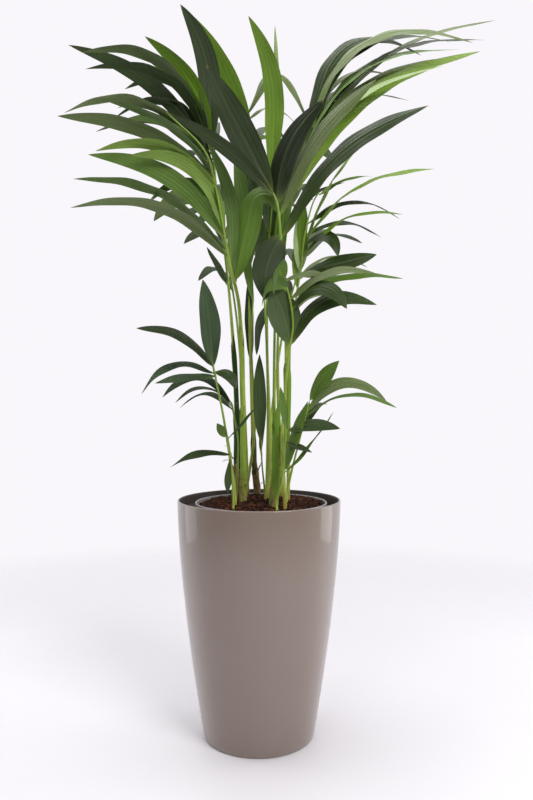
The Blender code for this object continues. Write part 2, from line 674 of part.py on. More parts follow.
def make_trunks():
    for name, (foot, top, foot_radius, top_radius, colour) in TRUNKS.items():
        path = smooth_path([(*foot, PLANTED_AT), (*foot, UPRIGHT_TO), top], 6)
        radii = np.interp(path[:, 2], [UPRIGHT_TO, top[2]], [foot_radius, top_radius])
        add_object(name, tube(path, radii, sides=10, level_top=True), material(name, colour, 0.7))


def stalk_knots(frond):
    """The points a stalk passes through: from the soil, or from the top of its trunk."""
    foot = frond["foot"]
    if foot in TRUNKS:
        x, y, z = TRUNKS[foot][1]
        return [(x, y, z + GAP)] + frond["stalk"]
    middle = (PLANTED_AT + UPRIGHT_TO) / 2
    return [(*foot, PLANTED_AT), (*foot, middle), (*foot, UPRIGHT_TO)] + frond["stalk"]


def make_frond(name, frond):
    """A stalk with its blades, united into one body."""
    path = smooth_path(stalk_knots(frond), STALK_SECTIONS)
    radii = np.linspace(frond["foot_radius"], frond["tip_radius"], STALK_SECTIONS)
    piece = add_object(name, tube(path, radii), material(name, frond["colour"], 0.35))
    blades = [blade_mesh(point_at_height(path, blade[0]), blade) for blade in frond["blades"]]
    boolean(piece, joined(blades), "UNION", itself=True)
    keep_outer_shell(piece.data)


def main():
    clear_scene()
    make_planter()
    make_riser()
    make_nursery_pot()
    make_soil()
    make_trunks()
    for name, frond in FRONDS.items():
        make_frond(name, frond)


main()
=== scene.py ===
# %% [markdown]
# # A Kentia palm in a tall lacquered planter
#
# A Kentia palm is sold as a tuft of several young plants in one nursery pot: brown trunks, green
# stalks, and feathered fronds whose leaflets arch over and hang. The nursery pot drops into a tall
# planter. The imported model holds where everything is, so this lesson starts by loading it.

import bpy
import numpy as np
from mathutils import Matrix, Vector


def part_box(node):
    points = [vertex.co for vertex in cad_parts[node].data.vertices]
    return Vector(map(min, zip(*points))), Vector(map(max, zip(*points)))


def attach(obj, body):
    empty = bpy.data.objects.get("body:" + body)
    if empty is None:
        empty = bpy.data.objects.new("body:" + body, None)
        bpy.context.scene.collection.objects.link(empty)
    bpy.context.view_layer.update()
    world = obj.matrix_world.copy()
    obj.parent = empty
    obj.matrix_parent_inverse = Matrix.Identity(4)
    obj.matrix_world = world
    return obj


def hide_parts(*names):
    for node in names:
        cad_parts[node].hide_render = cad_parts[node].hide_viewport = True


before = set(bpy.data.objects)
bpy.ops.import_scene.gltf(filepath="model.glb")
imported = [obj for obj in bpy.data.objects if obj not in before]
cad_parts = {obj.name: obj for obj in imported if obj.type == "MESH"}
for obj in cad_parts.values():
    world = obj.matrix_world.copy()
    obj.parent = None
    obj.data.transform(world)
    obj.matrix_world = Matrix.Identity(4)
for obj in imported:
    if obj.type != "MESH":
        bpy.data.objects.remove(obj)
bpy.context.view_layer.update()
BODY = "root"

# %% [markdown]
# ## Surfaces from grids
#
# Almost every part of this plant is a tube or a thin blade, and both are one idea: rings of points
# set along a path. Blender could build them with curves or by hand, but here each one is a formula
# of two parameters worked out with numpy, because a leaflet's pleats and waves are easy to write as
# sums and hard to push by hand. A ring grid becomes faces in one step, and its ends are capped so
# that the surface is closed.

# %% Rings to closed surfaces


def stacked(*parts):
    """Values that differ along a grid, round it or not at all, spread over it and put together."""
    return np.stack(np.broadcast_arrays(*parts), axis=2)


def full_turn(sides):
    """Angles of evenly spaced points round a full turn."""
    return np.linspace(0.0, 2 * np.pi, sides, endpoint=False)


def ring_faces(rings, around):
    """Quads between neighbouring rings of a grid whose rings close on themselves, and two end caps."""
    row = np.arange(rings - 1)[:, None] * around
    here = np.arange(around)[None, :]
    after = (here + 1) % around
    quads = np.stack([row + here, row + after, row + around + after, row + around + here], axis=2)
    caps = [list(range(around))[::-1], list(range((rings - 1) * around, rings * around))]
    return quads.reshape(-1, 4), caps


def encloses(points, quads):
    """Signed volume of a ring grid: a sum of the small pyramids under its faces."""
    middle = points.mean(axis=0)
    a, b, c, d = (points[quads[:, k]] - middle for k in range(4))
    return (np.cross(a, b) * c).sum() + (np.cross(a, c) * d).sum()


# %% Many grids, one mesh


class Surface:
    """Closed ring grids gathered into one mesh, with values kept for the finish at each point."""

    def __init__(self):
        self.points = []
        self.faces = []
        self.finish = []
        self.values = {"form": [], "place": [], "colour": []}
        self.count = 0

    def add(self, grid, form, place, colour, finish=0):
        """Adds a grid of rings, turned so that its faces look outwards."""
        rings, around = grid.shape[:2]
        points = grid.reshape(-1, 3)
        quads, caps = ring_faces(rings, around)
        if encloses(points, quads) < 0:
            quads = quads[:, ::-1]
            caps = [cap[::-1] for cap in caps]
        self.faces += (quads + self.count).tolist()
        self.faces += [[corner + self.count for corner in cap] for cap in caps]
        self.finish += [finish] * (len(quads) + 2)
        self.points.append(points)
        for name, value in (("form", form), ("place", place), ("colour", colour)):
            self.values[name].append(np.broadcast_to(value, grid.shape).reshape(-1, 3))
        self.count += len(points)

    def piece(self, name, finishes, sharp=None):
        """Makes the object: smooth shading, with sharp edges past an angle where one is given."""
        mesh = bpy.data.meshes.new(name)
        mesh.from_pydata(np.concatenate(self.points).tolist(), [], self.faces)
        mesh.shade_smooth()
        if sharp:
            mesh.set_sharp_from_angle(angle=np.radians(sharp))
        for finish in finishes:
            mesh.materials.append(finish)
        mesh.polygons.foreach_set("material_index", np.array(self.finish, np.int32))
        for value, rows in self.values.items():
            kept = mesh.attributes.new(value, "FLOAT_VECTOR", "POINT")
            kept.data.foreach_set("vector", np.concatenate(rows).astype(np.float32).ravel())
        made = bpy.data.objects.new(name, mesh)
        bpy.context.scene.collection.objects.link(made)
        print(f"{name}: {len(mesh.vertices)} points, {len(mesh.polygons)} faces")
        return made


def stands_for(piece, node):
    """Puts a finished piece on the plant's one body, in place of its plain solid."""
    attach(piece, BODY)
    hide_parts(node)


# %% [markdown]
# ## Smooth paths
#
# A stalk is drawn by a handful of points that it grows through. A Catmull-Rom curve passes through
# all of them without corners, so it is read at many places and then spaced evenly by length. A tube
# follows it: at each place, two directions across the path carry a ring.

# %% Curves through points


def unit(vectors):
    return vectors / np.linalg.norm(vectors, axis=-1, keepdims=True)


def smooth_path(points, count):
    """Catmull-Rom curve through the points, read at evenly spaced lengths."""
    knots = np.array(points, float)
    knots = np.vstack([2 * knots[0] - knots[1], knots, 2 * knots[-1] - knots[-2]])
    a, b, c, d = (knots[k:len(knots) - 3 + k, None] for k in range(4))
    t = np.linspace(0.0, 1.0, 16, endpoint=False)[None, :, None]
    curve = b + 0.5 * t * (c - a + t * (2 * a - 5 * b + 4 * c - d + t * (3 * (b - c) + d - a)))
    curve = np.vstack([curve.reshape(-1, 3), knots[-2]])
    length = np.append(0.0, np.cumsum(np.linalg.norm(np.diff(curve, axis=0), axis=1)))
    even = np.linspace(0.0, length[-1], count)
    return np.stack([np.interp(even, length, curve[:, k]) for k in range(3)], axis=1)


def point_at_height(path, height):
    """Where a rising path passes a height."""
    return np.array([np.interp(height, path[:, 2], path[:, 0]),
                     np.interp(height, path[:, 2], path[:, 1]), height])


def carried(path, level):
    """Two directions across a path: one close to level, one out of the curve's inner side."""
    tangent = unit(np.gradient(path, axis=0))
    inner = unit(np.cross(level, tangent))
    return np.cross(tangent, inner), inner


def rings_along(path, radius, angles, level=(1.0, 0.0, 0.0)):
    """Rings of given radii round a path: middle plus radius times cosine and sine of the angle."""
    side, inner = carried(path, np.array(level))
    reach = np.broadcast_to(radius, (len(path), len(angles)))[..., None]
    return path[:, None] + reach * (side[:, None] * np.cos(angles)[None, :, None]
                                    + inner[:, None] * np.sin(angles)[None, :, None])


# %% [markdown]
# ## Finishes written as sums
#
# A procedural finish is arithmetic on a few values: how far along the leaf, how far across, a noise.
# In the shader editor that is a chain of Math nodes. Here one small class wraps a node's socket, so
# that ordinary Python sums build the chain, and one method adds every other node.

# %% Sockets that can be added and multiplied


class Value:
    """A shader socket in a sum: each operator adds a Math node."""

    def __init__(self, tree, socket):
        self.tree = tree
        self.socket = socket

    def math(self, operation, *others, clamp=False):
        sockets = dict(enumerate((self,) + others))
        return self.tree.node("ShaderNodeMath", dict(operation=operation, use_clamp=clamp), sockets)

    def __add__(self, other):
        return self.math("ADD", other)

    def __sub__(self, other):
        return self.math("SUBTRACT", other)

    def __rsub__(self, other):
        return (self * -1.0) + other

    def __mul__(self, other):
        return self.math("MULTIPLY", other)

    def __truediv__(self, other):
        return self.math("DIVIDE", other)

    def __pow__(self, other):
        return self.math("POWER", other)

    def __abs__(self):
        return self.math("ABSOLUTE")

    __radd__ = __add__
    __rmul__ = __mul__

    def sine(self):
        return self.math("SINE")

    def clamped(self):
        return self.math("ADD", 0.0, clamp=True)

    def parts(self):
        """The three numbers of a vector."""
        settings, sockets = {}, {"Vector": self}
        return [self.tree.node("ShaderNodeSeparateXYZ", settings, sockets, axis) for axis in "XYZ"]


# %% Node trees and finishes


class Tree:
    """A node tree: one method adds any node, and a few short ones add those used most."""

    def __init__(self, nodes):
        self.nodes = nodes

    def node(self, kind, settings, sockets, output=0):
        """Adds a node: settings first, a ramp's stops among them, then its sockets; gives an output."""
        made = self.nodes.nodes.new(kind)
        for key, value in settings.items():
            if key == "stops":
                for place, _ in value[2:]:
                    made.color_ramp.elements.new(place)
                for stop, (place, colour) in zip(made.color_ramp.elements, value):
                    stop.position = place
                    stop.color = (*colour, 1.0)
            else:
                setattr(made, key, value)
        for key, value in sockets.items():
            self.plug(value, made.inputs[key])
        return Value(self, made.outputs[output])

    def plug(self, value, socket):
        """Links a value to a socket, or sets the socket to a plain number or colour."""
        if isinstance(value, Value):
            self.nodes.links.new(value.socket, socket)
        elif socket.type == "RGBA":
            socket.default_value = (*value, 1.0)
        else:
            socket.default_value = value

    def noise(self, vector, scale, detail=3.0):
        sockets = {"Vector": vector, "Scale": scale, "Detail": detail}
        return self.node("ShaderNodeTexNoise", {}, sockets)

    def mix(self, share, first, second, blend="MIX"):
        settings = dict(data_type="RGBA", blend_type=blend)
        return self.node("ShaderNodeMix", settings, {0: share, 6: first, 7: second}, 2)


class Finish(Tree):
    """A material round one Principled shader, whose constants are set on its own sockets."""

    def __init__(self, name, **constants):
        self.material = bpy.data.materials.new(name)
        self.material.use_nodes = True
        super().__init__(self.material.node_tree)
        self.shader = self.nodes.nodes["Principled BSDF"]
        for key, value in constants.items():
            self.shader.inputs[self.label(key)].default_value = value

    @staticmethod
    def label(key):
        return key.replace("_", " ").title().replace("Ior", "IOR")

    def set(self, **sockets):
        for key, value in sockets.items():
            self.plug(value, self.shader.inputs[self.label(key)])

    def attribute(self, name):
        return self.node("ShaderNodeAttribute", dict(attribute_name=name), {}, "Vector")

    def object_place(self):
        return self.node("ShaderNodeTexCoord", {}, {}, "Object")

    def streaked(self, vector, squeeze, detail=3.0):
        """Noise squeezed by a factor along each axis of a vector: the low factors draw it out."""
        place = self.node("ShaderNodeMapping", {}, {"Vector": vector, "Scale": squeeze})
        return self.noise(place, 1.0, detail)

    def tinted(self, share, colour, depth, tint):
        """A colour that goes part of the way, its depth, towards a tint, where the share says so."""
        return self.mix(share, colour, self.mix(depth, colour, tint))

    def raised(self, height, depth, strength=1.0):
        """Bumps the surface by a height between 0 and 1 times a depth in metres."""
        sockets = {"Height": height, "Distance": depth, "Strength": strength}
        self.set(normal=self.node("ShaderNodeBump", {}, sockets))


def srgb(red, green, blue):
    """A colour as a paint chart gives it, from 0 to 255, turned into the light it reflects."""
    share = np.array([red, green, blue]) / 255
    return tuple(np.where(share > 0.04, ((share + 0.055) / 1.055) ** 2.4, share / 12.92).tolist())


# %% [markdown]
# ## The leaf's skin
#
# A Kentia leaflet is waxy on top and duller and greyer beneath. Fine veins run its whole length, the
# midrib shows as a paler line, and light coming from behind glows through in yellow-green. An image
# could not follow a hundred leaflets, so each point carries three sets of numbers instead: its form
# (share along, share across, top or underside), its place on the leaf in metres, and its own green.

# %% Leaf finish
FINE_VEINS = 2600.0              # radians of vein pattern in a metre across the leaf
COARSE_VEINS = 1100.0


def leaf_skin(name, roughness, glow):
    """Waxy on top and duller beneath, and a share of its light, the glow, comes through it."""
    finish = Finish(name, specular_ior_level=0.20, coat_roughness=0.25)
    along, across, top = finish.attribute("form").parts()
    place = finish.attribute("place")
    green = finish.attribute("colour")
    width = place.parts()[1]
    veins = (width * FINE_VEINS).sine() * 0.5 + 0.5
    coarse = (width * COARSE_VEINS).sine() * 0.5 + 0.5
    cloud = finish.streaked(place, (14.0, 130.0, 9.0))
    flecks = finish.streaked(place, (60.0, 1500.0, 9.0))
    rib = (1.0 - abs(across) * 17.0).clamped()
    margin = ((abs(across) - 0.90) * 9.0).clamped()
    tip = ((along - 0.965) * 40.0).clamped()
    shaded = finish.mix(1.0, green, (0.60, 0.64, 0.55), "MULTIPLY")
    colour = finish.mix((cloud - 0.38).clamped() * 1.3, green, shaded)
    colour = finish.tinted(veins * veins * 0.30, colour, 0.12, srgb(170, 190, 120))
    colour = finish.tinted((flecks - 0.45).clamped() * 0.9, colour, 0.16, srgb(150, 170, 90))
    colour = finish.tinted(rib * 0.5, colour, 0.25, srgb(160, 185, 95))
    colour = finish.mix(margin * 0.12, colour, srgb(120, 140, 60))
    colour = finish.mix(tip * 0.8, colour, srgb(120, 100, 55))
    under = finish.mix(0.18, colour, srgb(120, 140, 100))
    colour = finish.mix(top, under, colour)
    finish.set(base_color=colour, roughness=(1.0 - top) * 0.16 + cloud * 0.12 + roughness,
               coat_weight=top * 0.06)
    finish.raised(veins * 0.3 + coarse * 0.5 + rib * 0.5 + flecks * 0.1, 0.00012)
    light = finish.node("ShaderNodeBsdfTranslucent", {}, {"Color": srgb(140, 175, 40)})
    waxy = Value(finish, finish.shader.outputs[0])
    mixed = finish.node("ShaderNodeMixShader", {}, {0: glow, 1: waxy, 2: light})
    finish.plug(mixed, finish.nodes.nodes["Material Output"].inputs["Surface"])
    return finish.material


LEAF_FINISH = {
    "frond_dark": leaf_skin("waxy leaf, dark", 0.34, 0.012),
    "frond_mid": leaf_skin("waxy leaf, mid green", 0.33, 0.035),
    "frond_light": leaf_skin("waxy leaf, pale", 0.36, 0.09),
}
print("leaf finishes:", sorted(LEAF_FINISH))

# %% [markdown]
# ## The stalk's skin
#
# Stalks are smooth and fibrous: long pale streaks run up them, the foot is straw brown and speckled
# with scurf, and the part that bears leaflets is a deeper green. The streaks are a noise drawn out a
# hundredfold along the stalk; the specks are the peaks of a second, finer noise.

# %% Stalk finish


def stalk_skin():
    finish = Finish("green stalk", specular_ior_level=0.45)
    along = finish.attribute("form").parts()[0]
    place = finish.attribute("place")
    streaks = finish.streaked(place, (9.0, 900.0, 5.0))
    blotches = finish.streaked(place, (40.0, 160.0, 5.0))
    specks = finish.streaked(place, (500.0, 900.0, 5.0))
    colour = finish.attribute("colour")
    colour = finish.tinted((streaks - 0.35).clamped() * 1.4, colour, 0.45, srgb(205, 215, 130))
    colour = finish.tinted((blotches - 0.5).clamped() * 1.6, colour, 0.5, srgb(70, 100, 30))
    foot = (1.9 - along * 16.0 + (blotches - 0.5) * 2.0).clamped()
    colour = finish.mix(foot * 0.75, colour, srgb(150, 118, 66))
    scurf = ((specks - 0.60) * 9.0).clamped() * (1.0 - along * 1.6).clamped()
    colour = finish.mix(scurf * 0.75, colour, srgb(110, 75, 40))
    finish.set(base_color=colour, roughness=streaks * 0.2 + 0.28)
    finish.raised(streaks * 0.6 + scurf, 0.0003)
    return finish.material


STALK_FINISH = stalk_skin()
print("stalk finish:", len(STALK_FINISH.node_tree.nodes), "nodes")

# %% [markdown]
# ## One leaflet
#
# A leaflet leaves its stalk on a narrow, thick base, widens before its middle and is drawn out to a
# fine point. Its midrib is the ridge of a low roof, with two or three soft pleats on each side, and
# its edges ripple a little. All of that is a height above a flat strip, and the strip is bent along
# an arc that rises from the stalk and falls under its own weight. A closed ring of points, out along
# the top and back along the underside, gives the blade its real thickness of under half a
# millimetre.

# %% The blade formula
BLADE_RINGS = 40
HALF_RING = 21                   # points across the top, edges included
ROOT_HALF_WIDTH = 0.0018
TIP_HALF_WIDTH = 0.00012
LEAF_THICKNESS = 0.00045
BASE_THICKNESS = 0.0022          # added at the base, where the blade joins its stalk
PLEAT_HEIGHT = 0.00040
RIPPLE_HEIGHT = 0.0013
KEEL_HEIGHT = 0.0005             # the midrib's ridge on the underside
LEAF_CHANCE = (1.5, 12.0, 1.0)   # most sway and twist in degrees, and ripple
LEAF_BASE_GREEN = np.array(srgb(150, 170, 70))


def across_leaf():
    """Shares across a blade, closer together at the midrib: t times (0.5 + 0.5 t squared)."""
    t = np.linspace(-1.0, 1.0, HALF_RING)
    return t * (0.5 + 0.5 * t * t)


def headings(rise, turn):
    """Unit vectors that rise above level and turn from +X, and the level directions across them."""
    tangent = np.stack([np.cos(rise) * np.cos(turn), np.cos(rise) * np.sin(turn), np.sin(rise)], axis=1)
    return tangent, np.stack([-np.sin(turn), np.cos(turn), 0 * turn], axis=1)


def ribbon(spine, level, face, roll, across, height):
    """A strip on a spine: spine plus side times across plus up times height. Side and up are the
    level direction and the face, turned about the spine by the roll."""
    side = level * np.cos(roll) + face * np.sin(roll)
    up = face * np.cos(roll) - level * np.sin(roll)
    return spine[:, None] + side[:, None] * across[..., None] + up[:, None] * height[..., None]


def blade_spine(root, blade, s, sway):
    """The arc of the midrib: its rise eases from one angle to another, its compass drifts a little."""
    compass, rise_root, rise_tip, length = blade[1:5]
    bend_from, bend_to = blade[7:] or (0.0, 1.0)
    bend = np.clip((s - bend_from) / (bend_to - bend_from), 0.0, 1.0)
    rise = np.radians(rise_root + (rise_tip - rise_root) * bend * bend * (3 - 2 * bend))
    turn = np.radians(compass + sway * s * s)
    tangent, level = headings(rise, turn)
    step = (tangent[1:] + tangent[:-1]) * 0.5 * length * np.diff(s)[:, None]
    spine = np.vstack([[root], root + np.cumsum(step, axis=0)])
    return spine, level, np.cross(tangent, level)


# %% A blade's rings


def add_blade(surface, root, blade, green, seed):
    """Rings across the midrib: out along the top and back along the underside.

    Half width: s to 0.75 times (1 - s) to 0.85, no less than the base. Height: a roof falling from
    the midrib, plus cosine pleats, plus ripples that grow with the square of the share across, plus
    or minus half the thickness, less a keel under the midrib."""
    draw = np.random.default_rng(seed)
    sway, twist, ripple = draw.uniform(-1, 1, 3) * LEAF_CHANCE
    phase = draw.uniform(0, 2 * np.pi, 3)
    even = np.linspace(0.0, 1.0, BLADE_RINGS)
    s = 0.5 * even + 0.25 * (1 - np.cos(np.pi * even))
    spine, level, face = blade_spine(root, blade, s, sway)
    length, width = blade[4:6]
    roll = np.radians(blade[6] + twist * s * s + 4 * np.sin(7 * s + phase[2]))[:, None]
    shape = s ** 0.75 * (1 - s) ** 0.85
    base = ROOT_HALF_WIDTH * (1 - s) ** 3 + TIP_HALF_WIDTH
    half = np.maximum(0.5 * width * shape / shape.max(), base)[:, None]
    open_share = np.clip(half / half.max(), 0.0, 1.0)
    top = across_leaf()
    ring = np.append(top, top[-2:0:-1])[None, :]
    above = np.append(np.ones(HALF_RING), -np.ones(HALF_RING - 2))[None, :]
    above[0, [0, HALF_RING - 1]] = 0.0
    roof = -half * np.sqrt(ring ** 2 + 0.004) * (0.13 + 0.55 * (1 - s[:, None]) ** 5)
    pleats = PLEAT_HEIGHT * open_share * np.cos(5 * np.pi * ring) * (1 - 0.3 * ring ** 2)
    waves = np.sin(length * s[:, None] * 75 + phase[0] + np.where(ring > 0, 1.6, 0.0))
    waves = waves * RIPPLE_HEIGHT * open_share * ring ** 2 * (1 + 0.5 * ripple)
    keel = KEEL_HEIGHT * np.exp(-(ring / 0.10) ** 2) * open_share * np.where(above < 0, 1.0, -0.3)
    thick = LEAF_THICKNESS * (1 - 0.5 * np.abs(ring)) * (0.4 + 0.6 * (1 - s[:, None]))
    thick = thick + BASE_THICKNESS * np.exp(-s[:, None] / 0.012) * np.sqrt(1.0001 - ring ** 2)
    height = roof + pleats + waves + above * 0.5 * thick - keel
    grid = ribbon(spine, level, face, roll, half * ring, height)
    form = stacked(s[:, None], ring, 0.5 + 0.5 * above)
    place = stacked(length * s[:, None], half * ring, 0.1 * seed)
    fresh = np.exp(-s / 0.05)[:, None, None] * 0.7
    shade = (1.0 + 0.18 * np.sin(2.2 * s + phase[1]))[:, None, None]
    colour = np.array(green) * shade * (1 - fresh) + LEAF_BASE_GREEN * fresh
    surface.add(grid, form, place, colour, finish=1)


# %% [markdown]
# ## The plan of the plant
#
# Every frond is a stalk and its leaflets. The table says where each stalk grows, the points that it
# passes, and for each leaflet how high it starts, its compass direction from +X, its rise at the
# base and at the tip, its length, width and roll, and sometimes the stretch over which it bends.
# Angles are in degrees, all else in metres. The greens vary from leaflet to leaflet, so each frond
# also has a word with one letter for each leaflet. Old leaflets are a darker green and young ones
# yellower; beyond that, the almost black greens are painted shade, the yellow ones are painted
# back-light and the grey teal ones are painted sheen. A trunk's row holds its foot, its top, the
# radius at each, and its slot.

# %% The stalks and leaflets, one row each
TRUNKS = {
    "trunk_back_left": ((-0.047, 0.088), (-0.046, 0.086, 0.566), 0.0100, 0.0062, "trunk_brown"),
    "trunk_front_left": ((-0.031, -0.016), (-0.030, -0.020, 0.520), 0.0078, 0.0064, "trunk_brown"),
    "trunk_back_centre": ((-0.005, 0.088), (-0.012, 0.087, 0.530), 0.0080, 0.0056, "trunk_brown"),
    "trunk_front_right": ((0.029, -0.050), (0.033, -0.054, 0.522), 0.0092, 0.0078, "trunk_green"),
}

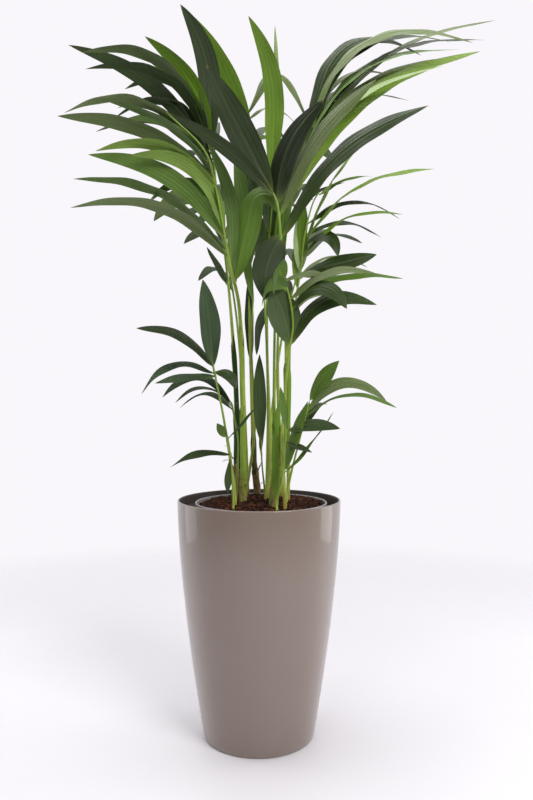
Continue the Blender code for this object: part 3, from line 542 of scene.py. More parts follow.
FRONDS = {
    "frond_front_left": dict(
        greens="mlmgmglmdmmm", slot="frond_mid",
        foot_radius=0.0052, tip_radius=0.0014, foot="trunk_front_left",
        stalk=[(-0.031, -0.030, 0.655), (-0.037, -0.050, 0.826),
               (-0.056, -0.060, 0.916), (-0.079, -0.080, 1.044), (-0.101, -0.090, 1.117),
               (-0.170, -0.100, 1.183)],
        blades=[
            (0.958, 197, 56, 0, 0.300, 0.034, 60),
            (0.965, 208, 80, -14, 0.260, 0.028, 62),
            (0.937, 188, 50, -3, 0.325, 0.028, 20),
            (0.925, 200, 44, -18, 0.318, 0.032, 25),
            (0.990, 182, 75, -48, 0.190, 0.022, 40),
            (1.070, 194, 38, -4, 0.300, 0.034, 30),
            (1.052, 206, 42, -26, 0.245, 0.028, 35),
            (1.095, 180, 50, 12, 0.225, 0.026, 20),
            (1.020, 168, 68, 22, 0.170, 0.028, 50),
            (0.905, 180, 97, 62, 0.250, 0.026, 85),
            (0.880, 344, 76, -68, 0.235, 0.054, 78, 0.58, 0.92),
            (0.870, 200, 88, 84, 0.150, 0.020, 80),
        ],
    ),
    "frond_back_left": dict(
        greens="ddgyyddgdmddgDdddd", slot="frond_dark",
        foot_radius=0.0045, tip_radius=0.0014, foot="trunk_back_left",
        stalk=[(-0.050, 0.082, 0.700), (-0.065, 0.070, 0.900),
               (-0.086, 0.055, 1.070), (-0.092, 0.050, 1.140), (-0.096, 0.048, 1.180)],
        blades=[
            (1.115, 176, 65, 19, 0.430, 0.037, 50),
            (1.078, 165, 75, -22, 0.380, 0.030, 42, 0.42, 1.00),
            (1.160, 187, 68, -14, 0.375, 0.032, 22, 0.20, 1.00),
            (1.176, 180, 80, 36, 0.270, 0.036, 55),
            (1.170, 168, 76, 30, 0.265, 0.030, 38),
            (1.150, 195, 74, -18, 0.350, 0.028, 25, 0.05, 1.00),
            (1.130, 181, 72, -38, 0.295, 0.026, 15, 0.15, 1.00),
            (1.155, 191, 40, -30, 0.335, 0.030, 12, 0.20, 1.00),
            (1.140, 177, 44, -24, 0.280, 0.024, 8, 0.15, 1.00),
            (1.145, 184, 42, -28, 0.255, 0.026, 12, 0.20, 1.00),
            (1.175, 170, 50, -16, 0.245, 0.024, 8, 0.20, 1.00),
            (0.895, 176, 62, 58, 0.090, 0.018, 50),
            (1.050, 158, 40, -50, 0.180, 0.040, 50),
            (1.178, 190, 88, 56, 0.292, 0.045, 72, 0.30, 1.00),
            (0.980, 112, 60, -15, 0.220, 0.034, 10),
            (1.040, 100, 60, -20, 0.240, 0.036, 0),
            (1.100, 122, 60, -12, 0.250, 0.036, 5),
            (1.160, 96, 62, -5, 0.240, 0.034, -10),
        ],
    ),
    "frond_back_centre": dict(
        greens="yggmmddgddD", slot="frond_mid",
        foot_radius=0.0042, tip_radius=0.0014, foot="trunk_back_centre",
        stalk=[(-0.0185, 0.085, 0.763), (-0.022, 0.090, 0.907),
               (-0.022, 0.100, 1.077), (-0.024, 0.105, 1.184), (-0.027, 0.110, 1.265)],
        blades=[
            (1.108, 176, 86, 55, 0.405, 0.050, 66),
            (1.262, 8, 64, -62, 0.270, 0.030, 45, 0.25, 0.60),
            (1.250, 24, 48, -50, 0.150, 0.020, 20),
            (1.200, 34, 42, -70, 0.140, 0.024, 30),
            (0.925, 176, 90, 76, 0.250, 0.042, 78),
            (0.985, 350, 90, 76, 0.220, 0.038, 75),
            (1.050, 70, 62, -15, 0.200, 0.034, 10),
            (1.120, 100, 60, -20, 0.230, 0.034, 0),
            (1.180, 62, 60, -10, 0.220, 0.032, 10),
            (1.225, 118, 62, -10, 0.230, 0.032, 0),
            (0.735, 170, 88, 88, 0.170, 0.020, 80),
        ],
    ),
    "frond_front_centre": dict(
        greens="DDDgdD", slot="frond_dark",
        foot_radius=0.0066, tip_radius=0.0016, foot="trunk_front_right",
        stalk=[(0.0518, -0.056, 0.579), (0.053, -0.070, 0.749),
               (0.047, -0.090, 0.858), (0.041, -0.105, 0.947), (0.0356, -0.110, 1.006),
               (0.0247, -0.112, 1.037)],
        blades=[
            (1.035, 184, 62, 62, 0.255, 0.052, 75),
            (1.028, 192, 46, 24, 0.230, 0.026, 60),
            (1.010, 352, 86, 44, 0.212, 0.050, 72),
            (0.990, 344, 70, 34, 0.295, 0.044, 58),
            (0.950, 338, 62, 12, 0.350, 0.050, 60),
            (0.955, 195, -60, -92, 0.125, 0.062, 80),
        ],
    ),
    "frond_centre_tall": dict(
        greens="ypmdggdD", slot="frond_mid",
        foot_radius=0.0038, tip_radius=0.0014, foot=(0.020, 0.048),
        stalk=[(0.022, 0.050, 0.573), (0.016, 0.045, 0.761), (0.018, 0.040, 0.939),
               (0.028, 0.030, 1.078), (0.026, 0.030, 1.140)],
        blades=[
            (1.100, 178, 92, 62, 0.340, 0.040, 72, 0.30, 1.00),
            (1.120, 0, 86, 92, 0.290, 0.016, 60),
            (0.930, 350, 88, 80, 0.210, 0.040, 78),
            (0.990, 186, 88, 76, 0.200, 0.036, 78),
            (1.050, 75, 60, 0, 0.200, 0.030, 10),
            (1.000, 60, 58, -15, 0.200, 0.030, 5),
            (1.130, 60, 64, 0, 0.130, 0.030, 5),
            (0.850, 215, -60, -92, 0.110, 0.026, 75),
        ],
    ),
    "frond_high_right": dict(
        greens="ddglgmgdmgpdggdddg", slot="frond_dark",
        foot_radius=0.0042, tip_radius=0.0014, foot=(0.044, 0.058),
        stalk=[(0.042, 0.060, 0.573), (0.038, 0.056, 0.761), (0.050, 0.058, 0.942),
               (0.0715, 0.065, 1.1175), (0.1006, 0.070, 1.183), (0.1239, 0.075, 1.271)],
        blades=[
            (1.165, 7, 75, -28, 0.420, 0.040, 60, 0.30, 1.00),
            (1.172, 358, 75, -14, 0.440, 0.040, 45, 0.12, 1.00),
            (1.188, 349, 80, -24, 0.460, 0.038, 40),
            (1.078, 352, 63, 8, 0.490, 0.054, 56),
            (1.105, 0, 66, 6, 0.470, 0.048, 48),
            (1.155, 12, 66, 5, 0.440, 0.032, 30, 0.10, 1.00),
            (1.200, 3, 56, 10, 0.485, 0.034, 34),
            (1.180, 353, 64, -6, 0.450, 0.034, 30),
            (1.150, 343, 68, -8, 0.410, 0.030, 25),
            (1.130, 18, 74, -6, 0.360, 0.030, 25),
            (1.110, 336, 60, 0, 0.375, 0.040, 40),
            (1.030, 5, 52, 14, 0.145, 0.022, 25),
            (1.050, 70, 60, -20, 0.200, 0.032, 0),
            (1.120, 58, 60, -20, 0.240, 0.034, 0),
            (1.190, 66, 60, -12, 0.240, 0.034, 0),
            (1.240, 50, 60, -10, 0.230, 0.032, 0),
            (1.262, 80, 62, -10, 0.200, 0.030, 0),
            (1.268, 20, 60, -10, 0.220, 0.030, 20),
        ],
    ),
    "frond_mid_right": dict(
        greens="llydddpyldmm", slot="frond_light",
        foot_radius=0.0036, tip_radius=0.0013, foot=(0.058, 0.014),
        stalk=[(0.061, 0.004, 0.758), (0.0725, -0.010, 0.851), (0.0818, -0.020, 0.912),
               (0.089, -0.030, 0.975), (0.104, -0.035, 1.034), (0.121, -0.038, 1.060)],
        blades=[
            (0.950, 354, 72, 38, 0.310, 0.030, 14),
            (0.965, 341, 52, -3, 0.285, 0.032, 25),
            (0.935, 331, 46, -16, 0.225, 0.034, 30),
            (0.995, 13, 42, -30, 0.212, 0.030, 24),
            (0.975, 27, 32, -24, 0.190, 0.030, 24),
            (0.955, 322, 35, -80, 0.110, 0.034, 40),
            (0.905, 186, 92, 84, 0.110, 0.028, 80),
            (0.930, 165, 94, 88, 0.120, 0.020, 75),
            (0.872, 180, 86, 90, 0.095, 0.016, 80),
            (0.898, 6, 20, 12, 0.160, 0.042, 58),
            (0.865, 350, 24, -12, 0.210, 0.032, 38),
            (1.050, 22, 40, 5, 0.130, 0.024, 20),
        ],
    ),
    "frond_low_front_right": dict(
        greens="dddggmm", slot="frond_dark",
        foot_radius=0.0036, tip_radius=0.0015, foot=(0.049, -0.072),
        stalk=[(0.044, -0.076, 0.579), (0.050, -0.088, 0.683), (0.057, -0.100, 0.749),
               (0.063, -0.108, 0.7925), (0.057, -0.115, 0.838), (0.045, -0.120, 0.875)],
        blades=[
            (0.755, 205, 80, 62, 0.115, 0.060, 80),
            (0.757, 346, 68, -22, 0.200, 0.038, 58),
            (0.820, 334, 56, -62, 0.140, 0.036, 55),
            (0.838, 353, 46, -14, 0.170, 0.032, 38),
            (0.870, 8, 30, -5, 0.075, 0.020, 40),
            (0.872, 255, 35, -90, 0.115, 0.036, 60),
            (0.858, 232, 20, -80, 0.100, 0.030, 60),
        ],
    ),
    "frond_low_left": dict(
        greens="tdttd", slot="frond_dark",
        foot_radius=0.0032, tip_radius=0.0018, foot=(-0.046, -0.040),
        stalk=[(-0.052, -0.044, 0.521), (-0.066, -0.055, 0.617), (-0.078, -0.065, 0.681),
               (-0.084, -0.070, 0.711), (-0.086, -0.071, 0.724)],
        blades=[
            (0.718, 178, 88, 78, 0.165, 0.040, 80),
            (0.718, 188, 54, -2, 0.168, 0.030, 30),
            (0.705, 198, 28, -60, 0.165, 0.030, 20),
            (0.700, 214, 2, -16, 0.125, 0.026, 35),
            (0.708, 340, 5, -80, 0.062, 0.024, 45),
        ],
    ),
    "leaf_arching_left": dict(
        greens="tdt", slot="frond_dark",
        foot_radius=0.0028, tip_radius=0.0015, foot=(-0.046, 0.014),
        stalk=[(-0.0415, 0.004, 0.570), (-0.051, -0.008, 0.634), (-0.054, -0.010, 0.652)],
        blades=[
            (0.648, 184, 60, -50, 0.172, 0.028, 30),
            (0.642, 164, 52, -45, 0.145, 0.022, 20),
            (0.636, 206, 48, -45, 0.130, 0.020, 20),
        ],
    ),
    "seedling_left": dict(
        greens="dmtd", slot="frond_dark",
        foot_radius=0.0024, tip_radius=0.0013, foot=(-0.048, -0.068),
        stalk=[(-0.053, -0.070, 0.5505), (-0.0585, -0.072, 0.590)],
        blades=[
            (0.553, 202, 14, -34, 0.122, 0.026, 35),
            (0.587, 170, 40, 60, 0.032, 0.018, 80),
            (0.583, 346, 48, 44, 0.100, 0.009, 40),
            (0.548, 214, -76, -94, 0.068, 0.022, 70),
        ],
    ),
    "young_leaf_centre": dict(
        greens="dD", slot="frond_mid",
        foot_radius=0.0022, tip_radius=0.0014, foot=(0.012, -0.018),
        stalk=[(0.006, -0.022, 0.530), (0.004, -0.024, 0.580)],
        blades=[
            (0.574, 180, 88, 90, 0.170, 0.026, 85),
            (0.550, 70, 80, 84, 0.130, 0.020, 80),
        ],
    ),
    "frond_low_right": dict(
        greens="mgmd", slot="frond_mid",
        foot_radius=0.0030, tip_radius=0.0014, foot=(0.054, -0.022),
        stalk=[(0.064, -0.026, 0.519), (0.083, -0.032, 0.595), (0.098, -0.036, 0.655)],
        blades=[
            (0.655, 348, 64, 42, 0.095, 0.034, 65),
            (0.632, 350, 58, -42, 0.185, 0.026, 55),
            (0.625, 334, 38, -28, 0.195, 0.028, 15),
            (0.600, 60, 55, -10, 0.130, 0.028, 10),
        ],
    ),
    "seedling_right": dict(
        greens="dmmdm", slot="frond_dark",
        foot_radius=0.0024, tip_radius=0.0013, foot=(0.034, -0.086),
        stalk=[(0.044, -0.098, 0.508), (0.050, -0.104, 0.580), (0.052, -0.106, 0.605)],
        blades=[
            (0.600, 348, 20, -16, 0.100, 0.028, 45),
            (0.525, 340, 74, 66, 0.136, 0.028, 60),
            (0.520, 352, 46, 56, 0.146, 0.018, 15),
            (0.580, 336, -16, -26, 0.055, 0.016, 30),
            (0.600, 200, 82, 80, 0.080, 0.014, 60),
        ],
    ),
    "spear_left": dict(
        greens="m", slot="frond_light",
        foot_radius=0.0030, tip_radius=0.0016, foot=(-0.026, 0.050),
        stalk=[(-0.009, 0.052, 0.604), (-0.016, 0.056, 0.757), (-0.012, 0.060, 0.880)],
        blades=[
            (0.860, 180, 80, 84, 0.190, 0.020, 80),
        ],
    ),
    "spear_centre": dict(
        greens="d", slot="frond_light",
        foot_radius=0.0042, tip_radius=0.0018, foot=(0.016, 0.008),
        stalk=[(0.018, 0.010, 0.620), (0.014, 0.012, 0.790), (0.006, 0.014, 0.920)],
        blades=[
            (0.905, 190, 84, 80, 0.200, 0.026, 80),
        ],
    ),
    "spear_right": dict(
        greens="m", slot="frond_light",
        foot_radius=0.0044, tip_radius=0.0018, foot=(0.032, 0.006),
        stalk=[(0.030, 0.008, 0.620), (0.031, 0.010, 0.790), (0.036, 0.014, 0.940)],
        blades=[
            (0.925, 5, 84, 76, 0.210, 0.028, 75),
        ],
    ),
    "frond_rear_left": dict(
        greens="dgdgddg", slot="frond_dark",
        foot_radius=0.0040, tip_radius=0.0014, foot=(-0.026, 0.106),
        stalk=[(-0.034, 0.128, 0.640), (-0.052, 0.170, 0.840), (-0.078, 0.220, 0.990),
               (-0.100, 0.270, 1.090)],
        blades=[
            (0.900, 122, 55, -25, 0.200, 0.034, 10),
            (0.950, 60, 55, -20, 0.180, 0.034, 0),
            (0.990, 126, 52, -20, 0.220, 0.036, 10),
            (1.020, 66, 55, -20, 0.200, 0.034, 0),
            (1.050, 128, 50, -15, 0.220, 0.036, 5),
            (1.075, 78, 52, -10, 0.200, 0.034, 0),
            (1.088, 112, 50, -10, 0.220, 0.034, 0),
        ],
    ),
    "frond_rear_right": dict(
        greens="gdgddgd", slot="frond_dark",
        foot_radius=0.0040, tip_radius=0.0014, foot=(0.016, 0.104),
        stalk=[(0.026, 0.130, 0.620), (0.050, 0.175, 0.800), (0.082, 0.225, 0.930),
               (0.110, 0.270, 1.010)],
        blades=[
            (0.840, 20, 52, -25, 0.190, 0.034, 10),
            (0.890, 110, 55, -20, 0.180, 0.034, 0),
            (0.925, 28, 50, -22, 0.230, 0.036, 10),
            (0.955, 104, 55, -20, 0.200, 0.034, 0),
            (0.985, 40, 50, -15, 0.230, 0.036, 5),
            (1.000, 92, 52, -12, 0.200, 0.034, 0),
            (1.008, 66, 48, -10, 0.220, 0.034, 0),
        ],
    ),
}
print(len(FRONDS), "fronds,", sum(len(frond["blades"]) for frond in FRONDS.values()), "leaflets")

# %% [markdown]
# ## Growing the fronds
#
# A stalk is a tube, thick at its foot and thin at its tip, flattened on the side that faces the
# plant's middle, where a real stalk has a channel. Where a leaflet joins, the stalk swells into a
# small knuckle. The leaflets start on the stalk's own path, so they can never come away from it.

# %% Stalk and leaflets together
PLANTED_AT = 0.428               # height of the planted feet, inside the soil
UPRIGHT_TO = 0.470               # feet rise straight up to here
GAP = 0.0003                     # between a trunk's top and the stalk on it
KNUCKLE_REACH = 0.003
STALK_SECTIONS = 12
STALK_RINGS = 110
STALK_SIDES = 16

# Letters: D and d are near black and dark, partly old green and partly painted shade; y is yellow, partly
# young green and partly painted back-light; t is grey teal, green with painted sheen.
LEAF_GREENS_AND_PAINTED_LIGHT = {
    "D": srgb(12, 25, 4), "d": srgb(50, 68, 30), "g": srgb(110, 126, 76), "m": srgb(96, 128, 46),
    "l": srgb(128, 158, 62), "y": srgb(114, 154, 2), "p": srgb(168, 190, 128), "t": srgb(62, 84, 60),
}
STALK_PALE = np.array(srgb(190, 204, 84))
STALK_GREEN = np.array(srgb(128, 162, 48))


def stalk_knots(frond):
    """The points that a stalk grows through, from the soil or from the top of its trunk."""
    if isinstance(frond["foot"], str):
        x, y, z = TRUNKS[frond["foot"]][1]
        return [(x, y, z + GAP)] + frond["stalk"]
    x, y = frond["foot"]
    feet = [(x, y, PLANTED_AT), (x, y, 0.5 * (PLANTED_AT + UPRIGHT_TO)), (x, y, UPRIGHT_TO)]
    return feet + frond["stalk"]


def add_stalk(surface, frond, seed):
    """Radius: foot to tip in proportion, less a hollow on the inner side, plus a knuckle per leaflet
    and a slow swelling above the foot, a bell curve, where a real stalk is wrapped in its own base."""
    knots = stalk_knots(frond)
    path = smooth_path(knots, STALK_RINGS)
    t = np.linspace(0.0, 1.0, STALK_RINGS)[:, None]
    angle = full_turn(STALK_SIDES)[None, :]
    radius = frond["foot_radius"] + (frond["tip_radius"] - frond["foot_radius"]) * t
    heights = np.array([blade[0] for blade in frond["blades"]])[None, :]
    knuckle = np.exp(-((path[:, 2:] - heights) / KNUCKLE_REACH) ** 2).sum(axis=1, keepdims=True)
    hollow = 0.26 * np.exp(-((angle - 0.5 * np.pi) / 0.7) ** 2) * np.clip(t * 4, 0, 1)
    swell = 1 + 0.30 * np.minimum(knuckle, 1.0) + 0.18 * np.exp(-((t - 0.22) / 0.18) ** 2)
    ends = np.clip((1 - t) * 40, 0.15, 1.0)
    lean = path[-1] - path[0]
    level = unit(np.cross((0.0, 0.0, 1.0), lean + 1e-6))
    grid = rings_along(path, radius * (1 - hollow) * swell * ends, angle[0], level)
    length = np.linalg.norm(np.diff(path, axis=0), axis=1).sum()
    form = stacked(t, np.cos(angle), 0.0)
    place = stacked(t * length, radius * np.sin(angle), 0.1 * seed)
    colour = STALK_PALE + (STALK_GREEN - STALK_PALE) * np.clip(t * 1.5, 0, 1)[..., None]
    surface.add(grid, form, place, colour)
    return smooth_path(knots, STALK_SECTIONS)


def grow_frond(name, frond, seed):
    """One piece: the stalk, and each leaflet from the point of the stalk at its own height."""
    surface = Surface()
    path = add_stalk(surface, frond, seed)
    for index, (blade, letter) in enumerate(zip(frond["blades"], frond["greens"])):
        add_blade(surface, point_at_height(path, blade[0]), blade, LEAF_GREENS_AND_PAINTED_LIGHT[letter], seed + index)
    leafy = surface.piece(name + "_leafy", [STALK_FINISH, LEAF_FINISH[frond["slot"]]], sharp=65)
    stands_for(leafy, name)


for number, (name, frond) in enumerate(FRONDS.items()):
    grow_frond(name, frond, 100 * (number + 1))

# %% [markdown]
# ## The trunks
#
# A young Kentia's trunk is a cane ringed by the scars of fallen fronds. It is wrapped in the split
# sheaths of the fronds above: smooth and green while young, then tan, torn and papery. The cane is a
# tube whose radius carries the ring scars. A sheath is the same tube, opened by a slit, with a ragged
# upper edge; its inside and outside are one closed ring, like a leaflet's top and underside.

# %% Bark and sheath finishes


def bark_skin(name, low, high, scar):
    finish = Finish(name, specular_ior_level=0.3)
    along, _, scars = finish.attribute("form").parts()
    place = finish.attribute("place")
    fibres = finish.streaked(place, (30.0, 1400.0, 3.0), 5.0)
    blotches = finish.noise(finish.object_place(), 90.0)
    colour = finish.mix((along * 1.3 + blotches - 0.7).clamped(), low, high)
    colour = finish.tinted((blotches - 0.45).clamped() * 2.2, colour, 0.5, srgb(60, 45, 25))
    colour = finish.tinted((fibres - 0.4).clamped(), colour, 0.4, srgb(200, 180, 120))
    colour = finish.mix(scars * 0.45, colour, scar)
    finish.set(base_color=colour, roughness=fibres * 0.25 + 0.45)
    finish.raised(fibres + blotches * 0.5, 0.0006)
    return finish.material


def sheath_skin():
    finish = Finish("torn sheath", specular_ior_level=0.25)
    along, _, age = finish.attribute("form").parts()
    place = finish.attribute("place")
    fibres = finish.streaked(place, (24.0, 1100.0, 3.0), 6.0)
    patches = finish.streaked(place, (30.0, 60.0, 3.0))
    dry = (((along - 0.94) * 14.0).clamped() * 0.7 + patches * 0.8 + age * 1.1 - 0.72).clamped()
    colour = finish.mix(dry, finish.attribute("colour"), srgb(178, 150, 104))
    colour = finish.tinted((fibres - 0.42).clamped() * age * 2.6, colour, 0.7, srgb(88, 58, 30))
    colour = finish.mix((patches - 0.56).clamped() * age * 4.0, colour, srgb(96, 66, 38))
    finish.set(base_color=colour, roughness=fibres * 0.2 + 0.6)
    finish.raised(fibres, 0.0008)
    return finish.material


BARK = {
    "trunk_back_left": bark_skin("brown cane", srgb(92, 66, 46), srgb(44, 66, 28), srgb(52, 38, 26)),
    "trunk_front_left": bark_skin("straw cane", srgb(138, 108, 62), srgb(146, 164, 70), srgb(104, 64, 34)),
    "trunk_back_centre": bark_skin("dark cane", srgb(44, 32, 22), srgb(52, 56, 30), srgb(34, 24, 16)),
    "trunk_front_right": bark_skin("green cane", srgb(134, 138, 72), srgb(112, 148, 48), srgb(110, 84, 44)),
}
SHEATH = sheath_skin()
print("bark finishes:", len(BARK), "and one for sheaths")

# %% Canes
CANE_RINGS = 120
CANE_SIDES = 28
SCAR_COUNT = 4
SCAR_SPACING = (0.014, 0.030)    # least and most, from one scar to the next
SCAR_WIDTH = 0.0013


def add_cane(surface, foot, top, foot_radius, top_radius, seed):
    """Radius: foot to top in proportion, a flare at the soil, low lumps, and a ridge at each scar."""
    draw = np.random.default_rng(seed)
    low = np.array([*foot, PLANTED_AT])
    rise = np.array([*foot, UPRIGHT_TO])
    path = smooth_path([low, 0.5 * (low + rise), rise, np.array(top)], CANE_RINGS)
    t = np.linspace(0.0, 1.0, CANE_RINGS)[:, None]
    angle = full_turn(CANE_SIDES)[None, :]
    height = path[:, 2:]
    scars = low[2] + 0.024 + np.cumsum(draw.uniform(*SCAR_SPACING, SCAR_COUNT))[None, :]
    tilt = 0.0016 * np.sin(angle + seed)
    ridge = np.exp(-((height + tilt)[..., None] - scars) ** 2 / SCAR_WIDTH ** 2).sum(axis=2)
    flare = 0.30 * np.exp(-(height - low[2] - 0.012) / 0.012)
    lumps = 0.05 * np.sin(3 * angle + 40 * t + seed) * np.sin(9 * t)
    radius = foot_radius + (top_radius - foot_radius) * t
    grid = rings_along(path, radius * (1 + np.clip(flare, 0, 0.3) + lumps + 0.04 * ridge), angle[0])
    form = stacked(t, angle, np.clip(ridge, 0, 1))
    place = stacked(height, radius * angle, 0.1 * seed)
    surface.add(grid, form, place, 0.5)


# %% Sheaths and torn strips
SHEATH_RINGS = 30
SHEATH_HALF_RING = 25            # points round the outside, and as many round the inside
SHEATH_FLARE = 0.3
SHEATH_WALL = 0.0005
STRIP_POINTS = 24
STRIP_HALF_THICKNESS = 0.00016
STRAW = srgb(170, 140, 92)


def add_sheath(surface, path, radius, slit_at, slit, green, age, seed):
    """A split tube: each ring runs round the outside from slit to slit and back round the inside.

    Its upper edge is ragged: a ring's height is its share times a length that varies round it.
    Its age runs from 0, green and smooth, to 1, dry and fibrous."""
    draw = np.random.default_rng(seed)
    turn = np.linspace(slit_at + slit / 2, slit_at + 2 * np.pi - slit / 2, SHEATH_HALF_RING)
    angle = np.append(turn, turn[::-1])[None, :]
    inside = np.repeat([0.0, 1.0], SHEATH_HALF_RING)[None, :]
    t = np.linspace(0.0, 1.0, SHEATH_RINGS)[:, None]
    ragged = sum(np.sin(k * angle + draw.uniform(0, 6)) / k for k in (2, 5, 9, 14))
    reach = np.clip(0.74 + 0.16 * ragged, 0.3, 1.0)
    share = t * reach * (len(path) - 1)
    middle = np.stack([np.interp(share, np.arange(len(path)), path[:, k]) for k in range(3)], axis=2)
    open_out = 1 + SHEATH_FLARE * t ** 3 + 0.05 * np.sin(5 * angle + 9 * t)
    wall = radius * open_out * (1 - 0.25 * t) - inside * SHEATH_WALL
    ring = np.stack([np.cos(angle), np.sin(angle), 0 * angle], axis=2)
    grid = middle + wall[..., None] * ring
    form = stacked(t, angle, age)
    place = stacked(t * 0.08, radius * angle, 0.1 * seed)
    surface.add(grid, form, place, green, finish=1)


def add_strip(surface, root, compass, lean, length, width, seed):
    """A papery strip torn off a sheath: a thin ribbon that curls away and narrows to a ragged end."""
    draw = np.random.default_rng(seed)
    t = np.linspace(0.0, 1.0, STRIP_POINTS)
    rise = np.radians(lean - 70 * t * t + 18 * np.sin(6 * t + draw.uniform(0, 6)))
    turn = np.radians(compass + 40 * t * draw.uniform(-1, 1))
    tangent, level = headings(rise, turn)
    steps = tangent[1:] * length / (STRIP_POINTS - 1)
    spine = np.array(root) + np.vstack([[0, 0, 0], np.cumsum(steps, axis=0)])
    curl = np.radians(90 * t * draw.uniform(-1, 1))[:, None]
    half = (0.5 * width * (1 - 0.85 * t ** 1.5) * (1 + 0.2 * np.sin(23 * t)))[:, None]
    ring = np.array([-1, -0.5, 0, 0.5, 1, 0.5, 0, -0.5])[None, :]
    above = np.array([0, 1, 1, 1, 0, -1, -1, -1])[None, :] * STRIP_HALF_THICKNESS
    cup = half * 0.5 * ring ** 2
    grid = ribbon(spine, level, np.cross(tangent, level), curl, half * ring, above + cup)
    form = stacked(0.5 + 0.5 * t[:, None], ring, 0.8)
    place = stacked(t[:, None] * length, half * ring, 0.1 * seed)
    surface.add(grid, form, place, STRAW, finish=1)


# %% Which sheaths and strips each trunk has
# Strips: share of the way up the trunk, compass and lean in degrees, length, width.
STRIPS = {
    "trunk_back_left": [(0.75, 200, 75, 0.040, 0.006), (0.55, 235, 60, 0.050, 0.005)],
    "trunk_front_left": [(0.30, 190, 80, 0.030, 0.005), (0.60, 300, 65, 0.022, 0.004),
                         (0.10, 215, -50, 0.045, 0.005)],
    "trunk_back_centre": [(0.70, 60, 70, 0.034, 0.005), (0.40, 300, 70, 0.030, 0.004)],
    "trunk_front_right": [(0.20, 262, 80, 0.034, 0.006), (0.16, 310, 70, 0.026, 0.005),
                          (0.12, 225, 60, 0.024, 0.004), (0.24, 340, 30, 0.020, 0.003)],
}
# Sheaths: start and end above the soil, the side that the slit faces and its width in radians, age,
# looseness, and whether they lean with the stalk or stand straight on the trunk.
SHEATHS = {
    "trunk_back_left": [
        (0.010, 0.085, 1.0, 1.6, 0.85, 1.08, "leans"),
        (0.060, 0.240, 2.6, 0.9, 0.15, 1.04, "leans"),
        (0.130, 0.380, 0.4, 0.8, 0.0, 0.92, "leans"),
    ],
    "trunk_front_left": [
        (-0.006, 0.040, 2.0, 2.2, 0.8, 1.08, "leans"),
        (0.020, 0.100, 4.0, 1.2, 0.3, 1.05, "leans"),
        (0.060, 0.230, 1.2, 0.8, 0.05, 1.02, "leans"),
        (0.150, 0.390, 2.2, 0.7, 0.0, 0.88, "leans"),
    ],
    "trunk_back_centre": [
        (0.010, 0.070, 0.6, 1.8, 0.9, 1.08, "leans"),
        (0.050, 0.170, 3.4, 1.2, 0.4, 1.04, "leans"),
    ],
    "trunk_front_right": [
        (-0.006, 0.056, 5.6, 2.6, 1.0, 1.07, "straight"),
        (0.014, 0.190, 1.8, 0.9, 0.0, 1.02, "straight"),
        (0.060, 0.250, 0.9, 0.9, 0.0, 0.90, "straight"),
        (0.080, 0.340, 4.4, 0.8, 0.0, 0.98, "leans"),
    ],
}
SHEATH_GREEN = {
    "trunk_back_left": srgb(56, 88, 32), "trunk_front_left": srgb(146, 172, 66),
    "trunk_back_centre": srgb(64, 76, 34), "trunk_front_right": srgb(120, 156, 50),
}
print("sheaths:", sum(map(len, SHEATHS.values())), "strips:", sum(map(len, STRIPS.values())))

# %% Trunks
SOIL_AT = 0.448
CANE_POINTS = 80
STALK_POINTS = 200
STRAIGHT_ON = np.array([0.001, 0.010, 0.200])   # how far a straight sheath's path goes past the top
BEARERS = {frond["foot"]: frond for frond in FRONDS.values() if isinstance(frond["foot"], str)}


def grow_trunk(name, seed):
    """A cane, the sheaths that wrap it and the foot of its frond, and a few torn strips."""
    foot, top, foot_radius, top_radius, slot = TRUNKS[name]
    surface = Surface()
    add_cane(surface, foot, top, foot_radius, top_radius, seed)
    cane = smooth_path([(*foot, PLANTED_AT), (*foot, UPRIGHT_TO), tuple(top)], CANE_POINTS)
    stalk = smooth_path(stalk_knots(BEARERS[name]), STALK_POINTS)
    straight = top + np.linspace(0.0, 1.0, STALK_POINTS)[:, None] * STRAIGHT_ON
    paths = {"leans": np.vstack([cane[:-1], stalk]), "straight": np.vstack([cane[:-1], straight])}
    for index, (start, end, slit_at, slit, age, loose, follows) in enumerate(SHEATHS[name]):
        above = paths[follows][:, 2] - SOIL_AT
        wrapped = paths[follows][(above > start) & (above < end)]
        share = np.clip((wrapped[0, 2] - SOIL_AT) / (top[2] - SOIL_AT), 0, 1)
        radius = (foot_radius + (top_radius - foot_radius) * share) * loose
        add_sheath(surface, wrapped, radius, slit_at, slit, SHEATH_GREEN[name], age, seed + 1 + index)
    for index, (share, compass, lean, length, width) in enumerate(STRIPS[name]):
        middle = cane[int(share * (CANE_POINTS - 1))]
        outward = np.array([np.cos(np.radians(compass)), np.sin(np.radians(compass)), 0.0])
        root = middle + outward * foot_radius
        add_strip(surface, root, compass, lean, length, width, seed + 10 + index)
    trunk = surface.piece(name + "_ringed", [BARK[name], SHEATH], sharp=65)
    stands_for(trunk, name)


for number, name in enumerate(TRUNKS):
    grow_trunk(name, 40 + 20 * number)

# %% [markdown]
# ## The soil
#
# The plants stand in coarse coir: reddish-brown crumbs and threads with dark gaps between them. A
# bump alone looks painted at this distance, so the soil is three layers of geometry: a mounded cap
# shaped by a sum of waves, 1500 crumbs, and 1100 short curled threads. Crumbs and threads have very
# few faces each, since there are so many.

# %% Soil finish


def coir_skin():
    finish = Finish("coir", specular_ior_level=0.2)
    place = finish.object_place()
    grain = finish.noise(place, 900.0, 4.0)
    clumps = finish.noise(place, 130.0)
    # The ramp's near-black lowest stop is painted shade of the gaps between crumbs, over the real dark and
    # reddish browns of the coir.
    stops = [(0.46, srgb(10, 6, 5)), (0.54, srgb(52, 29, 21)), (0.64, srgb(128, 80, 56))]
    colour = finish.node("ShaderNodeValToRGB", dict(stops=stops), {"Fac": grain * 0.6 + clumps * 0.45})
    colour = finish.mix(1.0, colour, finish.attribute("colour"), "MULTIPLY")
    finish.set(base_color=colour, roughness=grain * 0.2 + 0.75)
    finish.raised(grain, 0.0012)
    return finish.material


